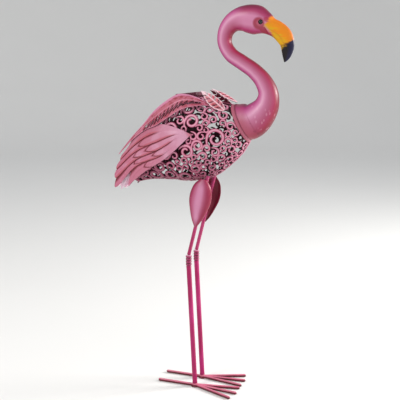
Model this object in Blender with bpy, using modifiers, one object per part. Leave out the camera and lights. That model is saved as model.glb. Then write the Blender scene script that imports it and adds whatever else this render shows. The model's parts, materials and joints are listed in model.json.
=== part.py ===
"""Solar flamingo garden light: a pierced steel body on two rod legs, with a hollow
formed neck and head, layered feather wings and a small solar lamp on the back.

Metres, +Z up, ground at z = 0, the beak towards +X and the bird's right side towards -Y.
The bird's free form is written in shares of its height (U is one share); sheets, tubes,
rods, the lamp and all clearances have sizes of their own.
"""
import math

import bmesh
import bpy
import numpy as np
from mathutils import Matrix, Vector
from mathutils.geometry import delaunay_2d_cdt

# Driving sizes, in metres
HEIGHT = 0.852              # top of the head above the ground
SHEET = 0.0018              # formed steel sheet, with its paint
GAP = 0.0003                # clearance between pieces that touch
PLAY = 0.0010               # clearance round a bar that passes through the body's sheet
WEB = 0.0050                # steel left between two openings of the pierced body
LEG_SPACING = 0.050         # between the two legs' centre lines
ROD_DIAMETER = 0.008        # upper leg rod
TUBE_DIAMETER = 0.011       # lower leg tube
TOE_DIAMETER = 0.0072       # toe rods
TOE_LENGTH = 0.104          # middle front toe, from the leg's centre line
BACK_TOE_LENGTH = 0.091
WRAP_DIAMETER = 0.0135      # ringed knee knuckle
WRAP_LENGTH = 0.024
WRAP_RINGS = 5
RING_DEPTH = 0.0012
ANKLE_RIM = 0.0008          # the ankle plug stands this far outside the tube
ANKLE_HEIGHT = 0.008
EYE_DIAMETER = 0.0098
EYE_DEPTH = 0.0028
LAMP_SIDE = 0.050           # square solar housing
LAMP_DEPTH = 0.0085
LAMP_WALL = 0.0032
LAMP_CORNER = 0.004
CELL_DEPTH = 0.0020
STUB_DIAMETER = 0.030       # lamp holder that drops through the back
STUB_LENGTH = 0.013
LENS_RIM = 0.005            # plain rim of the stub round the lens

U = HEIGHT / 852            # one share of the bird's free form
MIDDLE = 7.4                # the box's middle lies this far in front of the ground between the legs

TOE_SPLAY = math.radians(16)
TOE_OUT = math.radians(6)

# The body lies along a line that falls towards the tail, from the middle of the neck ring.
# Distances along it are s, across it (upwards) n, both in shares.
NECK_RING = (105, 608)      # x, z
BODY_TILT = math.radians(26)
BODY_END = 285

# s, back line n, belly line n, half width
BODY_STATIONS = np.array([
    (0, 40, -40, 36),
    (30, 61, -59, 50),
    (70, 92, -73, 62),
    (110, 106, -80, 68),
    (160, 102, -69, 64),
    (210, 83, -44, 50),
    (255, 56, -25, 33),
    (285, 31, -18, 21),
])

# s, half distance of the wing from the middle plane, the same at its top edge, top edge n
WING_STATIONS = np.array([
    (40, 57, 25, 66),
    (70, 67.5, 31, 100),
    (110, 74.0, 33, 113),
    (160, 70.0, 33, 105),
    (210, 57.0, 28, 88),
    (260, 41.5, 21, 70),
    (300, 30.0, 16, 54),
    (345, 23.0, 12, 30),
])

# Neck, head and beak: centre x, z, half height across the line, half width
NECK_STATIONS = np.array([
    (124, 611, 38, 35),
    (141, 624, 33, 31),
    (155, 645, 26.5, 26),
    (158, 668, 21.5, 21.5),
    (148, 692, 18.5, 18.5),
    (128, 714, 16.5, 16.5),
    (100, 733, 15.8, 15.8),
    (74, 751, 15.4, 15.4),
    (61, 775, 15.2, 15.2),
    (64, 798, 17.0, 16.2),
    (78, 815, 20.5, 18.5),
    (98, 822.5, 25.5, 21.5),
    (117, 822, 29.5, 23.5),
    (134, 818.5, 29.5, 22.5),
    (148, 813, 23.5, 18.0),
    (160, 806.5, 18.2, 13.0),
    (175, 799, 17.6, 11.0),
    (188, 787, 17.8, 9.5),
    (196, 771, 15.2, 8.0),
    (196.5, 754, 11.6, 6.0),
    (194, 741, 6.5, 3.5),
    (191.6, 734, 1.6, 1.2),
])
NECK_SIDES = 12
HOLLOW_UNTIL = 13           # the neck is hollow as far as this station
NECK_FLARE = 1.5            # the neck's rim stands this far outside the body's front ring

KNEE = (-12.5, 286)         # x, z of the lower tube's top
HIP = (33, 493)             # x, z of the upper rod's top, inside the body
ANKLE_X = 2.0

THIGH_TOP = (25.5, 484)
THIGH_TIP = (5.5, 377)
THIGH_DEPTH = 15
# share of the way down, half width
THIGH_STATIONS = np.array([(0, 7), (0.10, 17), (0.27, 24), (0.45, 25), (0.68, 18.5), (0.87, 10.5), (1, 2.5)])

EYE_PLACE = (144, 814.4)

# Colours of the pieces, as red, green, blue
COLOURS = {
    "body": (0.60, 0.13, 0.25),
    "neck": (0.48, 0.07, 0.17),
    "eye": (0.010, 0.010, 0.012),
    "wing": (0.56, 0.15, 0.24),
    "cover": (0.42, 0.07, 0.12),
    "feather": (0.62, 0.20, 0.30),
    "tail": (0.66, 0.24, 0.36),
    "thigh": (0.45, 0.07, 0.17),
    "rod": (0.38, 0.03, 0.12),
    "knuckle": (0.33, 0.03, 0.10),
    "tube": (0.36, 0.03, 0.11),
    "foot": (0.30, 0.02, 0.07),
    "housing": (0.085, 0.010, 0.026),
    "cell": (0.015, 0.02, 0.05),
    "lens": (0.85, 0.88, 0.90),
}


def clear_scene():
    for old in list(bpy.data.objects):
        bpy.data.objects.remove(old)


def make_collection(name, shown=True):
    made = bpy.data.collections.new(name)
    bpy.context.scene.collection.children.link(made)
    made.hide_render = not shown
    return made


def finish(name, roughness=0.35, metallic=0.15):
    material = bpy.data.materials.new(name + "_finish")
    material.use_nodes = True
    shader = material.node_tree.nodes["Principled BSDF"]
    shader.inputs["Base Color"].default_value = (*COLOURS[name], 1)
    shader.inputs["Roughness"].default_value = roughness
    shader.inputs["Metallic"].default_value = metallic
    return material


def smooth(at, table, column):
    """Cubic Hermite curve through a table's column, over its first column."""
    knots, values = table[:, 0], table[:, column]
    slope = np.gradient(values, knots)
    at = np.asarray(at, float)
    i = np.clip(np.searchsorted(knots, at) - 1, 0, len(knots) - 2)
    span = knots[i + 1] - knots[i]
    t = (at - knots[i]) / span
    return (
        (2 * t**3 - 3 * t**2 + 1) * values[i]
        + (t**3 - 2 * t**2 + t) * span * slope[i]
        + (3 * t**2 - 2 * t**3) * values[i + 1]
        + (t**3 - t**2) * span * slope[i + 1]
    )


def resample(points, count):
    """A smooth curve through points, as count points evenly spread over the gaps between them."""
    points = np.asarray(points, float)
    chord = np.concatenate([[0], np.cumsum(np.linalg.norm(np.diff(points[:, :2], axis=0), axis=1))])
    table = np.column_stack([chord, points])
    share = np.interp(np.linspace(0, 1, count), np.linspace(0, 1, len(chord)), chord)
    return np.column_stack([smooth(share, table, c + 1) for c in range(points.shape[1])])


def body_place(s, n, y):
    """World points, in metres, of body coordinates in shares."""
    s, n, y = np.broadcast_arrays(*(np.asarray(a, float) for a in (s, n, y)))
    x = NECK_RING[0] - s * math.cos(BODY_TILT) - n * math.sin(BODY_TILT)
    z = NECK_RING[1] - s * math.sin(BODY_TILT) + n * math.cos(BODY_TILT)
    return np.stack([x, y, z], axis=-1) * U


def body_skin(s, turn):
    """The body's outer surface: s along it, turn from the belly (0) over the right side to the back (pi)."""
    back, belly, width = (smooth(s, BODY_STATIONS, c) for c in (1, 2, 3))
    middle, half = (back + belly) / 2, (back - belly) / 2
    return body_place(s, middle - half * np.cos(turn), -width * np.sin(turn))


def add_object(name, mesh, material, collection):
    made = bpy.data.objects.new(name, mesh)
    made.data.materials.clear()
    made.data.materials.append(material)
    collection.objects.link(made)
    return made


def mesh_of(name, points, faces):
    mesh = bpy.data.meshes.new(name)
    mesh.from_pydata([tuple(map(float, p)) for p in points], [], [tuple(map(int, f)) for f in faces])
    mesh.update()
    return mesh


def finish_sheet(made, thickness=SHEET):
    """Turns an open surface into a sheet that grows inwards from it."""
    solid = made.modifiers.new("thickness", "SOLIDIFY")
    solid.thickness = thickness
    solid.offset = -1
    made.data.shade_smooth()
    return made


def mirrored(name, right, material, collection):
    """The left-hand copy of a right-hand piece, mirrored through the middle plane."""
    mesh = right.data.copy()
    mesh.transform(Matrix.Diagonal((1, -1, 1, 1)))
    mesh.flip_normals()
    left = add_object(name, mesh, material, collection)
    for modifier in right.modifiers:
        copy = left.modifiers.new(modifier.name, modifier.type)
        copy.thickness = modifier.thickness
        copy.offset = modifier.offset
    return left


def formed_pair(name, build, material, collection):
    """The right-hand sheet that build makes, and its mirrored left-hand one."""
    right = build(name + "_right", material, collection)
    mirrored(name + "_left", right, material, collection)


def pair(name, build, material, collection):
    """The same piece on the right (side -1) and on the left (side 1)."""
    for side, hand in ((-1, "_right"), (1, "_left")):
        build(name + hand, side, material, collection)


def triangulate(outline, holes, inner):
    """Points and triangles of a flat outline with holes in it, with inner points for its curvature."""
    loops = [outline] + holes
    flat = [Vector(p) for loop in loops for p in loop]
    edges, first = [], 0
    for loop in loops:
        edges += [(first + i, first + (i + 1) % len(loop)) for i in range(len(loop))]
        first += len(loop)
    free = ~np.any([inside(inner, hole, 1.15) for hole in holes] or [[False] * len(inner)], axis=0)
    flat += [Vector(p) for p, is_free in zip(inner, free) if is_free]
    points, _, faces, *_ = delaunay_2d_cdt(flat, edges, [], 0, 1e-9)
    points = np.array([tuple(p) for p in points])
    middles = np.array([points[list(face)].mean(axis=0) for face in faces])
    solid = inside(middles, outline)
    for hole in holes:
        solid &= ~inside(middles, hole)
    return points, [face for face, is_solid in zip(faces, solid) if is_solid]


def inside(points, loop, grow=1.0):
    """Which of the points lie in a closed loop, or in the loop grown about its middle."""
    loop = np.asarray(loop, float)
    centre = loop.mean(axis=0)
    a = centre + (loop - centre) * grow
    b = np.roll(a, -1, axis=0)
    x, y = np.asarray(points, float)[:, :1], np.asarray(points, float)[:, 1:]
    crosses = (a[:, 1] > y) != (b[:, 1] > y)
    rise = np.where(crosses, b[:, 1] - a[:, 1], 1)
    return np.count_nonzero(crosses & (x < (b[:, 0] - a[:, 0]) * (y - a[:, 1]) / rise + a[:, 0]), axis=1) % 2 == 1


# Pierced body

# The curls that show on the bird's side: distance along the body, turn round it from the belly,
# radius in shares, angle where the band starts, and which way it winds inwards
SIDE_CURLS = [
    (87, 1.97, 15.8, 170, -1), (55, 1.37, 19.9, 180, -1), (123, 1.34, 15.0, 110, -1), (95, 1.61, 8.9, 60, -1),
    (79, 1.54, 9.2, 120, 1), (61, 2.30, 9.0, 0, 1), (46, 2.32, 9.1, 180, -1), (110, 2.08, 10.6, 100, -1),
    (154, 1.33, 9.7, 150, -1), (81, 1.20, 8.9, 150, -1), (44, 1.94, 9.0, 200, -1), (22, 2.13, 11.4, 180, 1),
    (36, 1.10, 9.0, 0, 1), (70, 1.01, 10.6, 60, -1), (97, 1.06, 10.8, 140, -1), (66, 0.73, 10.1, 180, -1),
    (39, 0.80, 9.8, 90, -1), (128, 0.82, 12.0, -100, 1), (175, 1.06, 10.9, 180, -1), (57, 0.46, 10.2, 120, -1),
]
LARGE_CURL = 18             # largest and smallest radius of the curls between them, in shares
SMALL_CURL = 7.2
PLAIN_HOLE = 9.5            # a curl smaller than this is a plain round hole
SEAM = 3.0                  # plain strip on each side of the back and belly seams
FRONT_BAND = 9.0            # plain band behind the neck ring, and in front of the tail
TURN_SPREAD = 62            # flat width given to one radian round the body, in shares


def rod_axis_at_body():
    """Where the right upper rod's centre line meets the body's skin, as s, turn, and its flat frame."""
    _, _, start, end = (np.array(point) for point in leg_points())
    along = (end - start) / np.linalg.norm(end - start)
    s, turn = np.meshgrid(np.linspace(90, 160, 141), np.linspace(0.1, 1.2, 221), indexing="ij")
    offset = body_skin(s, turn) - end
    away = np.linalg.norm(offset - (offset @ along)[..., None] * along, axis=-1)
    best = np.unravel_index(np.argmin(away), away.shape)
    return s[best], turn[best], along


def skin_frame(s, turn):
    """Point on the skin and the two rates of change of it, by s and by turn, in metres."""
    step = 1e-3
    point = body_skin(s, turn)
    return point, (body_skin(s + step, turn) - point) / step, (body_skin(s, turn + step) - point) / step


def round_hole(s, turn, radius, along=None, sides=10):
    """A hole that a round bar of that radius leaves in the skin, going through it in direction along."""
    point, by_s, by_turn = skin_frame(s, turn)
    along = np.cross(by_s, by_turn) if along is None else along
    along = along / np.linalg.norm(along)
    first = np.cross(along, (0, 1, 0))
    first /= np.linalg.norm(first)
    second = np.cross(along, first)
    loop = []
    for k in range(sides):
        a = math.tau * (k + 0.5) / sides
        away = radius * (math.cos(a) * first + math.sin(a) * second)
        move, *_ = np.linalg.lstsq(np.column_stack([by_s, by_turn, along]), away, rcond=None)
        loop.append((s + move[0], turn + move[1]))
    return loop


def place_curls(keep_clear):
    """Curls over the right half of the body: s, turn, radius, start angle and winding, in shares and degrees.

    The side's curls stand where they are listed, less what must stay clear. The rest is packed: each
    next circle goes where it fits tightest, first large ones of varied size, then the largest that fit."""
    s, turn = (a.ravel() for a in np.meshgrid(
        np.linspace(FRONT_BAND, BODY_END - FRONT_BAND, 120), np.linspace(0.03, math.pi - 0.03, 110), indexing="ij"))
    place = body_skin(s, turn) / U
    room = np.minimum(-place[:, 1] - SEAM, np.minimum(s, BODY_END - s) - FRONT_BAND / 2)
    for centre, radius in keep_clear:
        room = np.minimum(room, np.linalg.norm(place - np.asarray(centre) / U, axis=1) - radius / U)
    curls = []
    for curl in SIDE_CURLS:
        middle = body_skin(curl[0], curl[1]) / U
        free = min(np.linalg.norm(middle - np.asarray(c) / U) - r / U for c, r in keep_clear)
        if free > SMALL_CURL:
            curls.append((curl[0], curl[1], min(curl[2], free), *curl[3:]))
            room = np.minimum(room, np.linalg.norm(place - middle, axis=1) - curls[-1][2])
    large = True
    while True:
        number = len(curls)
        cap = LARGE_CURL * (0.84 + 0.16 * math.cos(2.4 * number))
        best = np.argmin(np.where(room >= cap, room + 0.02 * np.abs(s - 120), np.inf)) if large else np.argmax(room)
        if large and room[best] < cap:
            large = False
            continue
        radius = cap if large else min(room[best], LARGE_CURL * 0.7)
        if radius < SMALL_CURL:
            return curls
        curls.append((s[best], turn[best], radius, 137.5 * number % 360, 1 if number % 2 else -1))
        room = np.minimum(room, np.linalg.norm(place - place[best], axis=1) - radius)


def curl_hole(s, turn, radius, start, winding):
    """A C-shaped opening round a curl's eye, or a plain round one where the curl is small."""
    _, by_s, by_turn = skin_frame(s, turn)
    across = -by_s / np.linalg.norm(by_s)
    up = by_turn - (by_turn @ across) * across
    up /= np.linalg.norm(up)
    outer = radius * U - WEB / 2
    if radius < PLAIN_HOLE:
        flat = [(outer, a) for a in np.linspace(0, math.tau, 6)[:-1]]
    else:
        eye = outer * 0.38
        sweep = math.radians(308)
        first = math.radians(start) - BODY_TILT
        count = 9 if radius > LARGE_CURL * 0.7 else 7
        flat = [(outer, first + winding * a) for a in np.linspace(0, sweep, count)]
        flat += [(eye, first + winding * a) for a in np.linspace(sweep - 0.3, 0.3, 3)]
    loop = []
    for away, angle in flat:
        step = away * (math.cos(angle) * across + math.sin(angle) * up)
        move, *_ = np.linalg.lstsq(np.column_stack([by_s, by_turn]), step, rcond=None)
        loop.append((s + move[0], turn + move[1]))
    return loop


def lamp_frame():
    """s and world point of the middle of the lamp's seat on the back."""
    s = 88.0
    return s, body_skin(s, math.pi)


def build_body(material, collection):
    """Two stamped and pierced halves, welded at the back and belly, open at the neck ring."""
    lamp_s, lamp_point = lamp_frame()
    rod_s, rod_turn, rod_along = rod_axis_at_body()
    keep_clear = [
        (lamp_point, STUB_DIAMETER / 2 + PLAY + WEB / 2),
        (body_skin(rod_s, rod_turn), ROD_DIAMETER / 2 + PLAY + WEB / 2),
    ]
    holes = [curl_hole(*curl) for curl in place_curls(keep_clear)]
    holes.append(round_hole(rod_s, rod_turn, ROD_DIAMETER / 2 + PLAY, rod_along))
    lamp_loop = round_hole(lamp_s, math.pi, STUB_DIAMETER / 2 + PLAY, sides=16)
    lamp_loop = [p for p in lamp_loop if p[1] < math.pi]
    lamp_loop.sort()
    reach = (STUB_DIAMETER / 2 + PLAY) / np.linalg.norm(skin_frame(lamp_s, math.pi)[1])
    notch = [(lamp_s - reach, math.pi), *lamp_loop, (lamp_s + reach, math.pi)]
    ring_turns = np.linspace(0, math.pi, 11)
    back_s = [s for s in np.linspace(BODY_END, 0, 13)[1:-1] if abs(s - lamp_s) > reach + 4]
    outline = [(0.0, t) for t in ring_turns[::-1]]
    outline += [(s, 0.0) for s in np.linspace(0, BODY_END, 13)[1:-1]]
    outline += [(BODY_END, t) for t in ring_turns]
    outline += [(s, math.pi) for s in back_s if s > lamp_s]
    outline += notch[::-1]
    outline += [(s, math.pi) for s in back_s if s < lamp_s]
    inner = [(s, t) for s in np.linspace(0, BODY_END, 15)[1:-1] for t in np.linspace(0, math.pi, 9)[1:-1]]

    def flat(loop):
        return [(s, t * TURN_SPREAD) for s, t in loop]

    points, faces = triangulate(flat(outline), [flat(hole) for hole in holes], flat(inner))
    s, turn = points[:, 0], points[:, 1] / TURN_SPREAD
    place = body_skin(s, turn)
    place[(turn < 1e-6) | (turn > math.pi - 1e-6), 1] = 0.0
    tail = [i for i in np.argsort(turn) if abs(s[i] - BODY_END) < 1e-6]
    mesh = mesh_of("body_shell", place, [tuple(f) for f in faces] + [tuple(tail)])
    made = add_object("body_shell", mesh, material, collection)
    face_outwards(mesh, Vector(body_place(130, 10, -10)))
    mirror = made.modifiers.new("left half", "MIRROR")
    mirror.use_axis = (False, True, False)
    mirror.merge_threshold = 0.0001
    return finish_sheet(made)


def face_outwards(mesh, centre):
    """Makes an open surface's faces agree and point away from centre."""
    shape = bmesh.new()
    shape.from_mesh(mesh)
    bmesh.ops.recalc_face_normals(shape, faces=shape.faces)
    facing = sum(f.normal.dot(f.calc_center_median() - centre) * f.calc_area() for f in shape.faces)
    if facing < 0:
        bmesh.ops.reverse_faces(shape, faces=shape.faces)
    shape.to_mesh(mesh)
    shape.free()
    mesh.update()


# Neck, head and beak

def neck_sections(inset, until):
    """Rings of points round the neck's line, taken in by inset, as far as a station."""
    table = NECK_STATIONS[: until + 1] if until else NECK_STATIONS
    first = np.array([(*NECK_RING, 40 + NECK_FLARE, 36 + NECK_FLARE)])
    table = np.vstack([first, table])
    line = resample(table, 1 + (3 * (len(table) - 1)) // 2)
    heading = np.gradient(line[:, :2], axis=0)
    heading[0] = (math.cos(BODY_TILT), math.sin(BODY_TILT))
    heading[1] = 0.6 * heading[0] + 0.4 * heading[1] / np.linalg.norm(heading[1])
    heading /= np.linalg.norm(heading, axis=1)[:, None]
    rings = []
    for (x, z, half_height, half_width), (dx, dz) in zip(line, heading):
        angle = np.arange(NECK_SIDES) * math.tau / NECK_SIDES
        up = (half_height * U - inset) * np.cos(angle)
        side = (half_width * U - inset) * np.sin(angle)
        rings.append(np.column_stack([x * U - dz * up, side, z * U + dx * up]))
    return rings


def build_neck(material, collection):
    """One hollow formed piece from the chest rim to the beak, its wall open at the rim."""
    outer = neck_sections(0, 0)
    inner = neck_sections(SHEET, HOLLOW_UNTIL)
    start = GAP * np.array([math.cos(BODY_TILT), 0, math.sin(BODY_TILT)])
    outer[0] = outer[0] + start
    inner[0] = inner[0] + start
    rings = outer[::-1] + inner
    points = np.vstack(rings)
    faces = []
    for r in range(len(rings) - 1):
        for k in range(NECK_SIDES):
            a, b = r * NECK_SIDES + k, r * NECK_SIDES + (k + 1) % NECK_SIDES
            faces.append((a, b, b + NECK_SIDES, a + NECK_SIDES))
    faces.append(tuple(range(NECK_SIDES))[::-1])
    faces.append(tuple(range(len(points) - NECK_SIDES, len(points))))
    mesh = mesh_of("neck_and_head", points, faces)
    made = add_object("neck_and_head", mesh, material, collection)
    outward(mesh)
    mesh.shade_smooth()
    return made


def outward(mesh):
    """Points a closed mesh's faces out."""
    shape = bmesh.new()
    shape.from_mesh(mesh)
    bmesh.ops.recalc_face_normals(shape, faces=shape.faces)
    if shape.calc_volume(signed=True) < 0:
        bmesh.ops.reverse_faces(shape, faces=shape.faces)
    shape.to_mesh(mesh)
    shape.free()
    mesh.update()


def half_ball(radius, height, name, upwards=True):
    """A closed dome on the plane z = 0."""
    shape = bmesh.new()
    bmesh.ops.create_uvsphere(shape, u_segments=12, v_segments=8, radius=radius)
    bmesh.ops.bisect_plane(
        shape, geom=shape.verts[:] + shape.edges[:] + shape.faces[:], plane_co=(0, 0, 0),
        plane_no=(0, 0, -1 if upwards else 1), clear_outer=True)
    bmesh.ops.holes_fill(shape, edges=shape.edges)
    bmesh.ops.scale(shape, vec=(1, 1, height / radius), verts=shape.verts)
    mesh = bpy.data.meshes.new(name)
    shape.to_mesh(mesh)
    shape.free()
    outward(mesh)
    mesh.shade_smooth()
    return mesh


def head_side(x, z):
    """Half width of the head's side at a place on it, in shares."""
    rows = NECK_STATIONS[11:16]
    centre_z, half_height, half_width = (smooth(x, rows, c) for c in (1, 2, 3))
    return half_width * math.sqrt(1 - ((z - centre_z) / half_height) ** 2)


def build_eye(name, side, material, collection):
    """A domed bead set square on the side of the head."""
    x, z = EYE_PLACE
    surface = head_side(x, z)
    step = 0.1
    by_x = (head_side(x + step, z) - surface) / step
    by_z = (head_side(x, z + step) - surface) / step
    facing = Vector((-by_x, side, -by_z)).normalized()
    eye = add_object(name, half_ball(EYE_DIAMETER / 2, EYE_DEPTH, name), material, collection)
    eye.location = Vector((x, side * surface, z)) * U + facing * 2 * GAP
    eye.rotation_mode = "QUATERNION"
    eye.rotation_quaternion = facing.to_track_quat("Z", "Y")
    return eye


# Wings

WING_ROOT = (96, 20)
# Where the feathers' edges cross the widest part of the wing, and where they end, as s, n
WING_EDGE_MIDDLE = [(176, -2), (178, 13), (179, 30), (180, 47), (181, 63), (180, 79)]
WING_EDGE_BEND = [(240, -7), (236, 17), (254, 24), (248, 40), (240, 54), (236, 74)]
WING_EDGE_END = [(291, -15), (271, 12), (322, 9), (310, 27), (291, 42), (262, 59)]
WING_TIPS = [(301, -17), (331, -9), (321, 18), (305, 35), (284, 50)]
FEATHER_STEP = 2.2          # height of each feather's edge over the next
WING_COLUMNS = 9

COVER_LIFT = 3.7            # the upper wing sheet stands this far outside the lower one
# s, middle line n, half width
COVER_STATIONS = np.array([
    (42, 62, 2), (66, 82, 11), (92, 94, 17), (128, 93, 18.5), (164, 88, 16.5), (200, 82.5, 8), (246, 72, 4), (293, 56, 1)])
COVER_SLITS = 10
SLIT_LENGTH = 9.5
SLIT_WIDTH = 2.6


def wing_place(s, n, lift):
    """A point of the right wing's surface, lifted outwards by so many shares."""
    reach, top, top_n = (smooth(s, WING_STATIONS, c) for c in (1, 2, 3))
    belly = smooth(np.minimum(s, BODY_END), BODY_STATIONS, 2)
    middle = (top_n + belly) / 2 + 6
    over = np.maximum((n - middle) / (top_n - middle), 0)
    under = np.maximum((middle - n) / (middle - belly + 20), 0)
    half = reach - (reach - top) * over**2 - 0.30 * reach * under**2.2
    root = np.hypot(s - WING_ROOT[0], n - WING_ROOT[1])
    half = half - 3.4 * np.exp(-((root / 16) ** 2))
    return body_place(s, n, -(half + lift))


def build_wing(name, material, collection):
    """The lower wing: one formed sheet of overlapping feathers with free tips."""
    edges = [
        resample([WING_ROOT, (112, 20 + 5 * (k - 1.2)), middle, bend, end], WING_COLUMNS)
        for k, (middle, bend, end) in enumerate(zip(WING_EDGE_MIDDLE, WING_EDGE_BEND, WING_EDGE_END))
    ]
    share = np.linspace(0, 1, WING_COLUMNS)
    for k, edge in enumerate(edges):
        edge[0] = (WING_ROOT[0], WING_ROOT[1] + 1.2 * (k - 2.5))
    rise = FEATHER_STEP * np.clip((share - 0.15) / 0.35, 0, 1)
    rows, lifts = [], []
    for k, tip in enumerate(WING_TIPS):
        low, high = edges[k], edges[k + 1]
        middle = (low + high) / 2
        middle[-1] = tip
        rows += [low * 0.96 + high * 0.04 if k else low, middle, high]
        lifts += [rise, rise * 0.45, rise * 0.0]
    flat = np.vstack(rows)
    points = wing_place(flat[:, 0], flat[:, 1], np.concatenate(lifts))
    count = WING_COLUMNS
    faces = [
        (r * count + c, r * count + c + 1, (r + 1) * count + c + 1, (r + 1) * count + c)
        for r in range(len(rows) - 1)
        for c in range(count - 1)
    ]
    mesh = mesh_of(name, points, faces)
    made = add_object(name, mesh, material, collection)
    face_outwards(mesh, Vector(body_place(180, 20, 300)))
    return finish_sheet(made)


def leaf_loops(length, half_width, slits, slit_length, slit_width, both_sides):
    """A flat leaf's outline along x, and slanted slits beside its rib. half_width is a function of x."""
    xs = np.linspace(0, length, 13)
    upper = [(x, half_width(x)) for x in xs]
    lower = [(x, -half_width(x)) for x in xs[::-1]]
    outline = upper + [p for p in lower if abs(p[1]) > 1e-9 or p[0] not in (0, length)]
    holes = []
    for side in (1, -1) if both_sides else (-1,):
        for x in slits:
            room = half_width(x)
            if room < slit_length * 0.75:
                continue
            near = side * room * 0.20
            far = side * min(room * 0.82, room - 1.6)
            lean = slit_length * 0.45
            loop = [
                (x - slit_width / 2, near), (x + slit_width / 2, near),
                (x + lean + slit_width / 2, far), (x + lean - slit_width / 2, far)]
            holes.append(loop if side > 0 else loop[::-1])
    return outline, holes


def build_cover(name, material, collection):
    """The upper wing: a long pierced leaf over the lower wing's top edge."""
    start, end = COVER_STATIONS[0, 0], COVER_STATIONS[-1, 0]
    slits = np.linspace(64 - start, 186 - start, COVER_SLITS)
    outline, holes = leaf_loops(
        end - start, lambda x: float(smooth(start + x, COVER_STATIONS, 2)), slits, SLIT_LENGTH, SLIT_WIDTH, True)
    holes = [h for h in holes if h[0][1] < 0 or h[0][0] > 84]
    inner = [(x, v) for x in np.linspace(10, end - start - 50, 11) for v in (-0.1, 0.1)]
    points, faces = triangulate(outline, holes, inner)
    s = start + points[:, 0]
    n = smooth(s, COVER_STATIONS, 1) + points[:, 1]
    mesh = mesh_of(name, wing_place(s, n, COVER_LIFT), faces)
    made = add_object(name, mesh, material, collection)
    face_outwards(mesh, Vector(body_place(150, 0, 300)))
    return finish_sheet(made)


# Feathers on the back, and the tail

LEAF_HALF_WIDTH = 12.5
LEAF_BOW = 4                # rise of a leaf's rib along its length
LEAF_DROOP = 5              # fall of its edges below the rib
SIDE_LEAF = ((73, -36, 634), (19, -32, 674))
MIDDLE_LEAF = ((90, 0, 650.5), (33, 0, 677))


def build_leaf(name, root, tip, outwards, material, collection):
    """A raised, arched and pierced feather from root to tip, whose face leans towards outwards."""
    root, tip = Vector(root), Vector(tip)
    along = tip - root
    length = along.length
    along.normalize()
    normal = Vector(outwards)
    normal = (normal - normal.dot(along) * along).normalized()
    side = normal.cross(along)

    def half(x):
        return LEAF_HALF_WIDTH * max(math.sin(math.pi * min((x / length + 0.06) / 1.07, 1) ** 0.85), 0.06)

    slits = np.linspace(length * 0.18, length * 0.64, 4)
    outline, holes = leaf_loops(length, half, slits, 8.0, 2.8, True)
    inner = [(x, 0) for x in np.linspace(0, length, 8)[1:-1]]
    points, faces = triangulate(outline, holes, inner)
    place = []
    for x, y in points:
        bow = 4 * LEAF_BOW * (x / length) * (1 - x / length)
        droop = LEAF_DROOP * (y / LEAF_HALF_WIDTH) ** 2
        place.append((root + along * x + side * y + normal * (bow - droop)) * U)
    mesh = mesh_of(name, place, faces)
    made = add_object(name, mesh, material, collection)
    face_outwards(mesh, ((root + tip) / 2 - normal * 100) * U)
    return finish_sheet(made)


def build_side_leaf(name, material, collection):
    return build_leaf(name, *SIDE_LEAF, (0.15, -0.85, 0.75), material, collection)


TAIL_COLUMNS = 6
TAIL_BLADES = 5


def build_tail(material, collection):
    """A ridged fan of feathers behind the body's end, hanging between the wing tips."""
    start = BODY_END + 1.0
    turns = np.radians(np.linspace(-98, 98, 2 * TAIL_BLADES + 1))
    rows = []
    for number, turn in enumerate(turns):
        blade_tip = number % 2
        end = 338 - 14 * (abs(turn) / turns[-1]) ** 2 + (0 if blade_tip else -10)
        s = np.linspace(start, end, TAIL_COLUMNS)
        share = (s - start) / (338 - start)
        half_height = 20 + 3 * share
        half_width = 17.5 - 8 * share
        ridge = 27 - 33 * share**1.2
        lift = 0.9 if blade_tip else 0.0
        n = ridge - (half_height + lift) * (1 - np.cos(turn))
        rows.append(body_place(s, n, -(half_width + lift) * np.sin(turn)))
    points = np.vstack(rows)
    faces = [
        (r * TAIL_COLUMNS + c, r * TAIL_COLUMNS + c + 1, (r + 1) * TAIL_COLUMNS + c + 1, (r + 1) * TAIL_COLUMNS + c)
        for r in range(len(rows) - 1)
        for c in range(TAIL_COLUMNS - 1)
    ]
    mesh = mesh_of("tail_feathers", points, faces)
    made = add_object("tail_feathers", mesh, material, collection)
    face_outwards(mesh, Vector(body_place(305, -10, 0)))
    return finish_sheet(made)


# Legs

def bar(name, start, end, radius, sides, material, collection):
    """A round bar between two points."""
    start, end = Vector(start), Vector(end)
    shape = bmesh.new()
    bmesh.ops.create_cone(
        shape, cap_ends=True, segments=sides, radius1=radius, radius2=radius, depth=(end - start).length,
        matrix=Matrix.Rotation(math.pi / sides, 4, "Z"))
    mesh = bpy.data.meshes.new(name)
    shape.to_mesh(mesh)
    shape.free()
    mesh.shade_smooth()
    mesh.set_sharp_from_angle(angle=math.radians(40))
    made = add_object(name, mesh, material, collection)
    made.rotation_mode = "QUATERNION"
    made.location = (start + end) / 2
    made.rotation_quaternion = (end - start).to_track_quat("Z", "Y")
    return made


def leg_point(place, side=-1):
    return Vector((place[0] * U, side * LEG_SPACING / 2, place[1] * U))


def leg_points(side=-1):
    """Foot, lower and upper end of the upright knee knuckle, and hip of one leg."""
    knee = leg_point(KNEE, side)
    return leg_point((ANKLE_X, 0), side), knee, knee + Vector((0, 0, WRAP_LENGTH)), leg_point(HIP, side)


def end_gap(along, radius):
    """How far a slanting bar's end stays from the knuckle so that its rim doesn't reach it."""
    return GAP + radius * math.hypot(along.x, along.y)


def build_upper_leg(name, side, material, collection):
    _, _, start, hip = leg_points(side)
    along = (hip - start).normalized()
    radius = ROD_DIAMETER / 2
    return bar(name, start + along * end_gap(along, radius), hip, radius, 10, material, collection)


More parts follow.
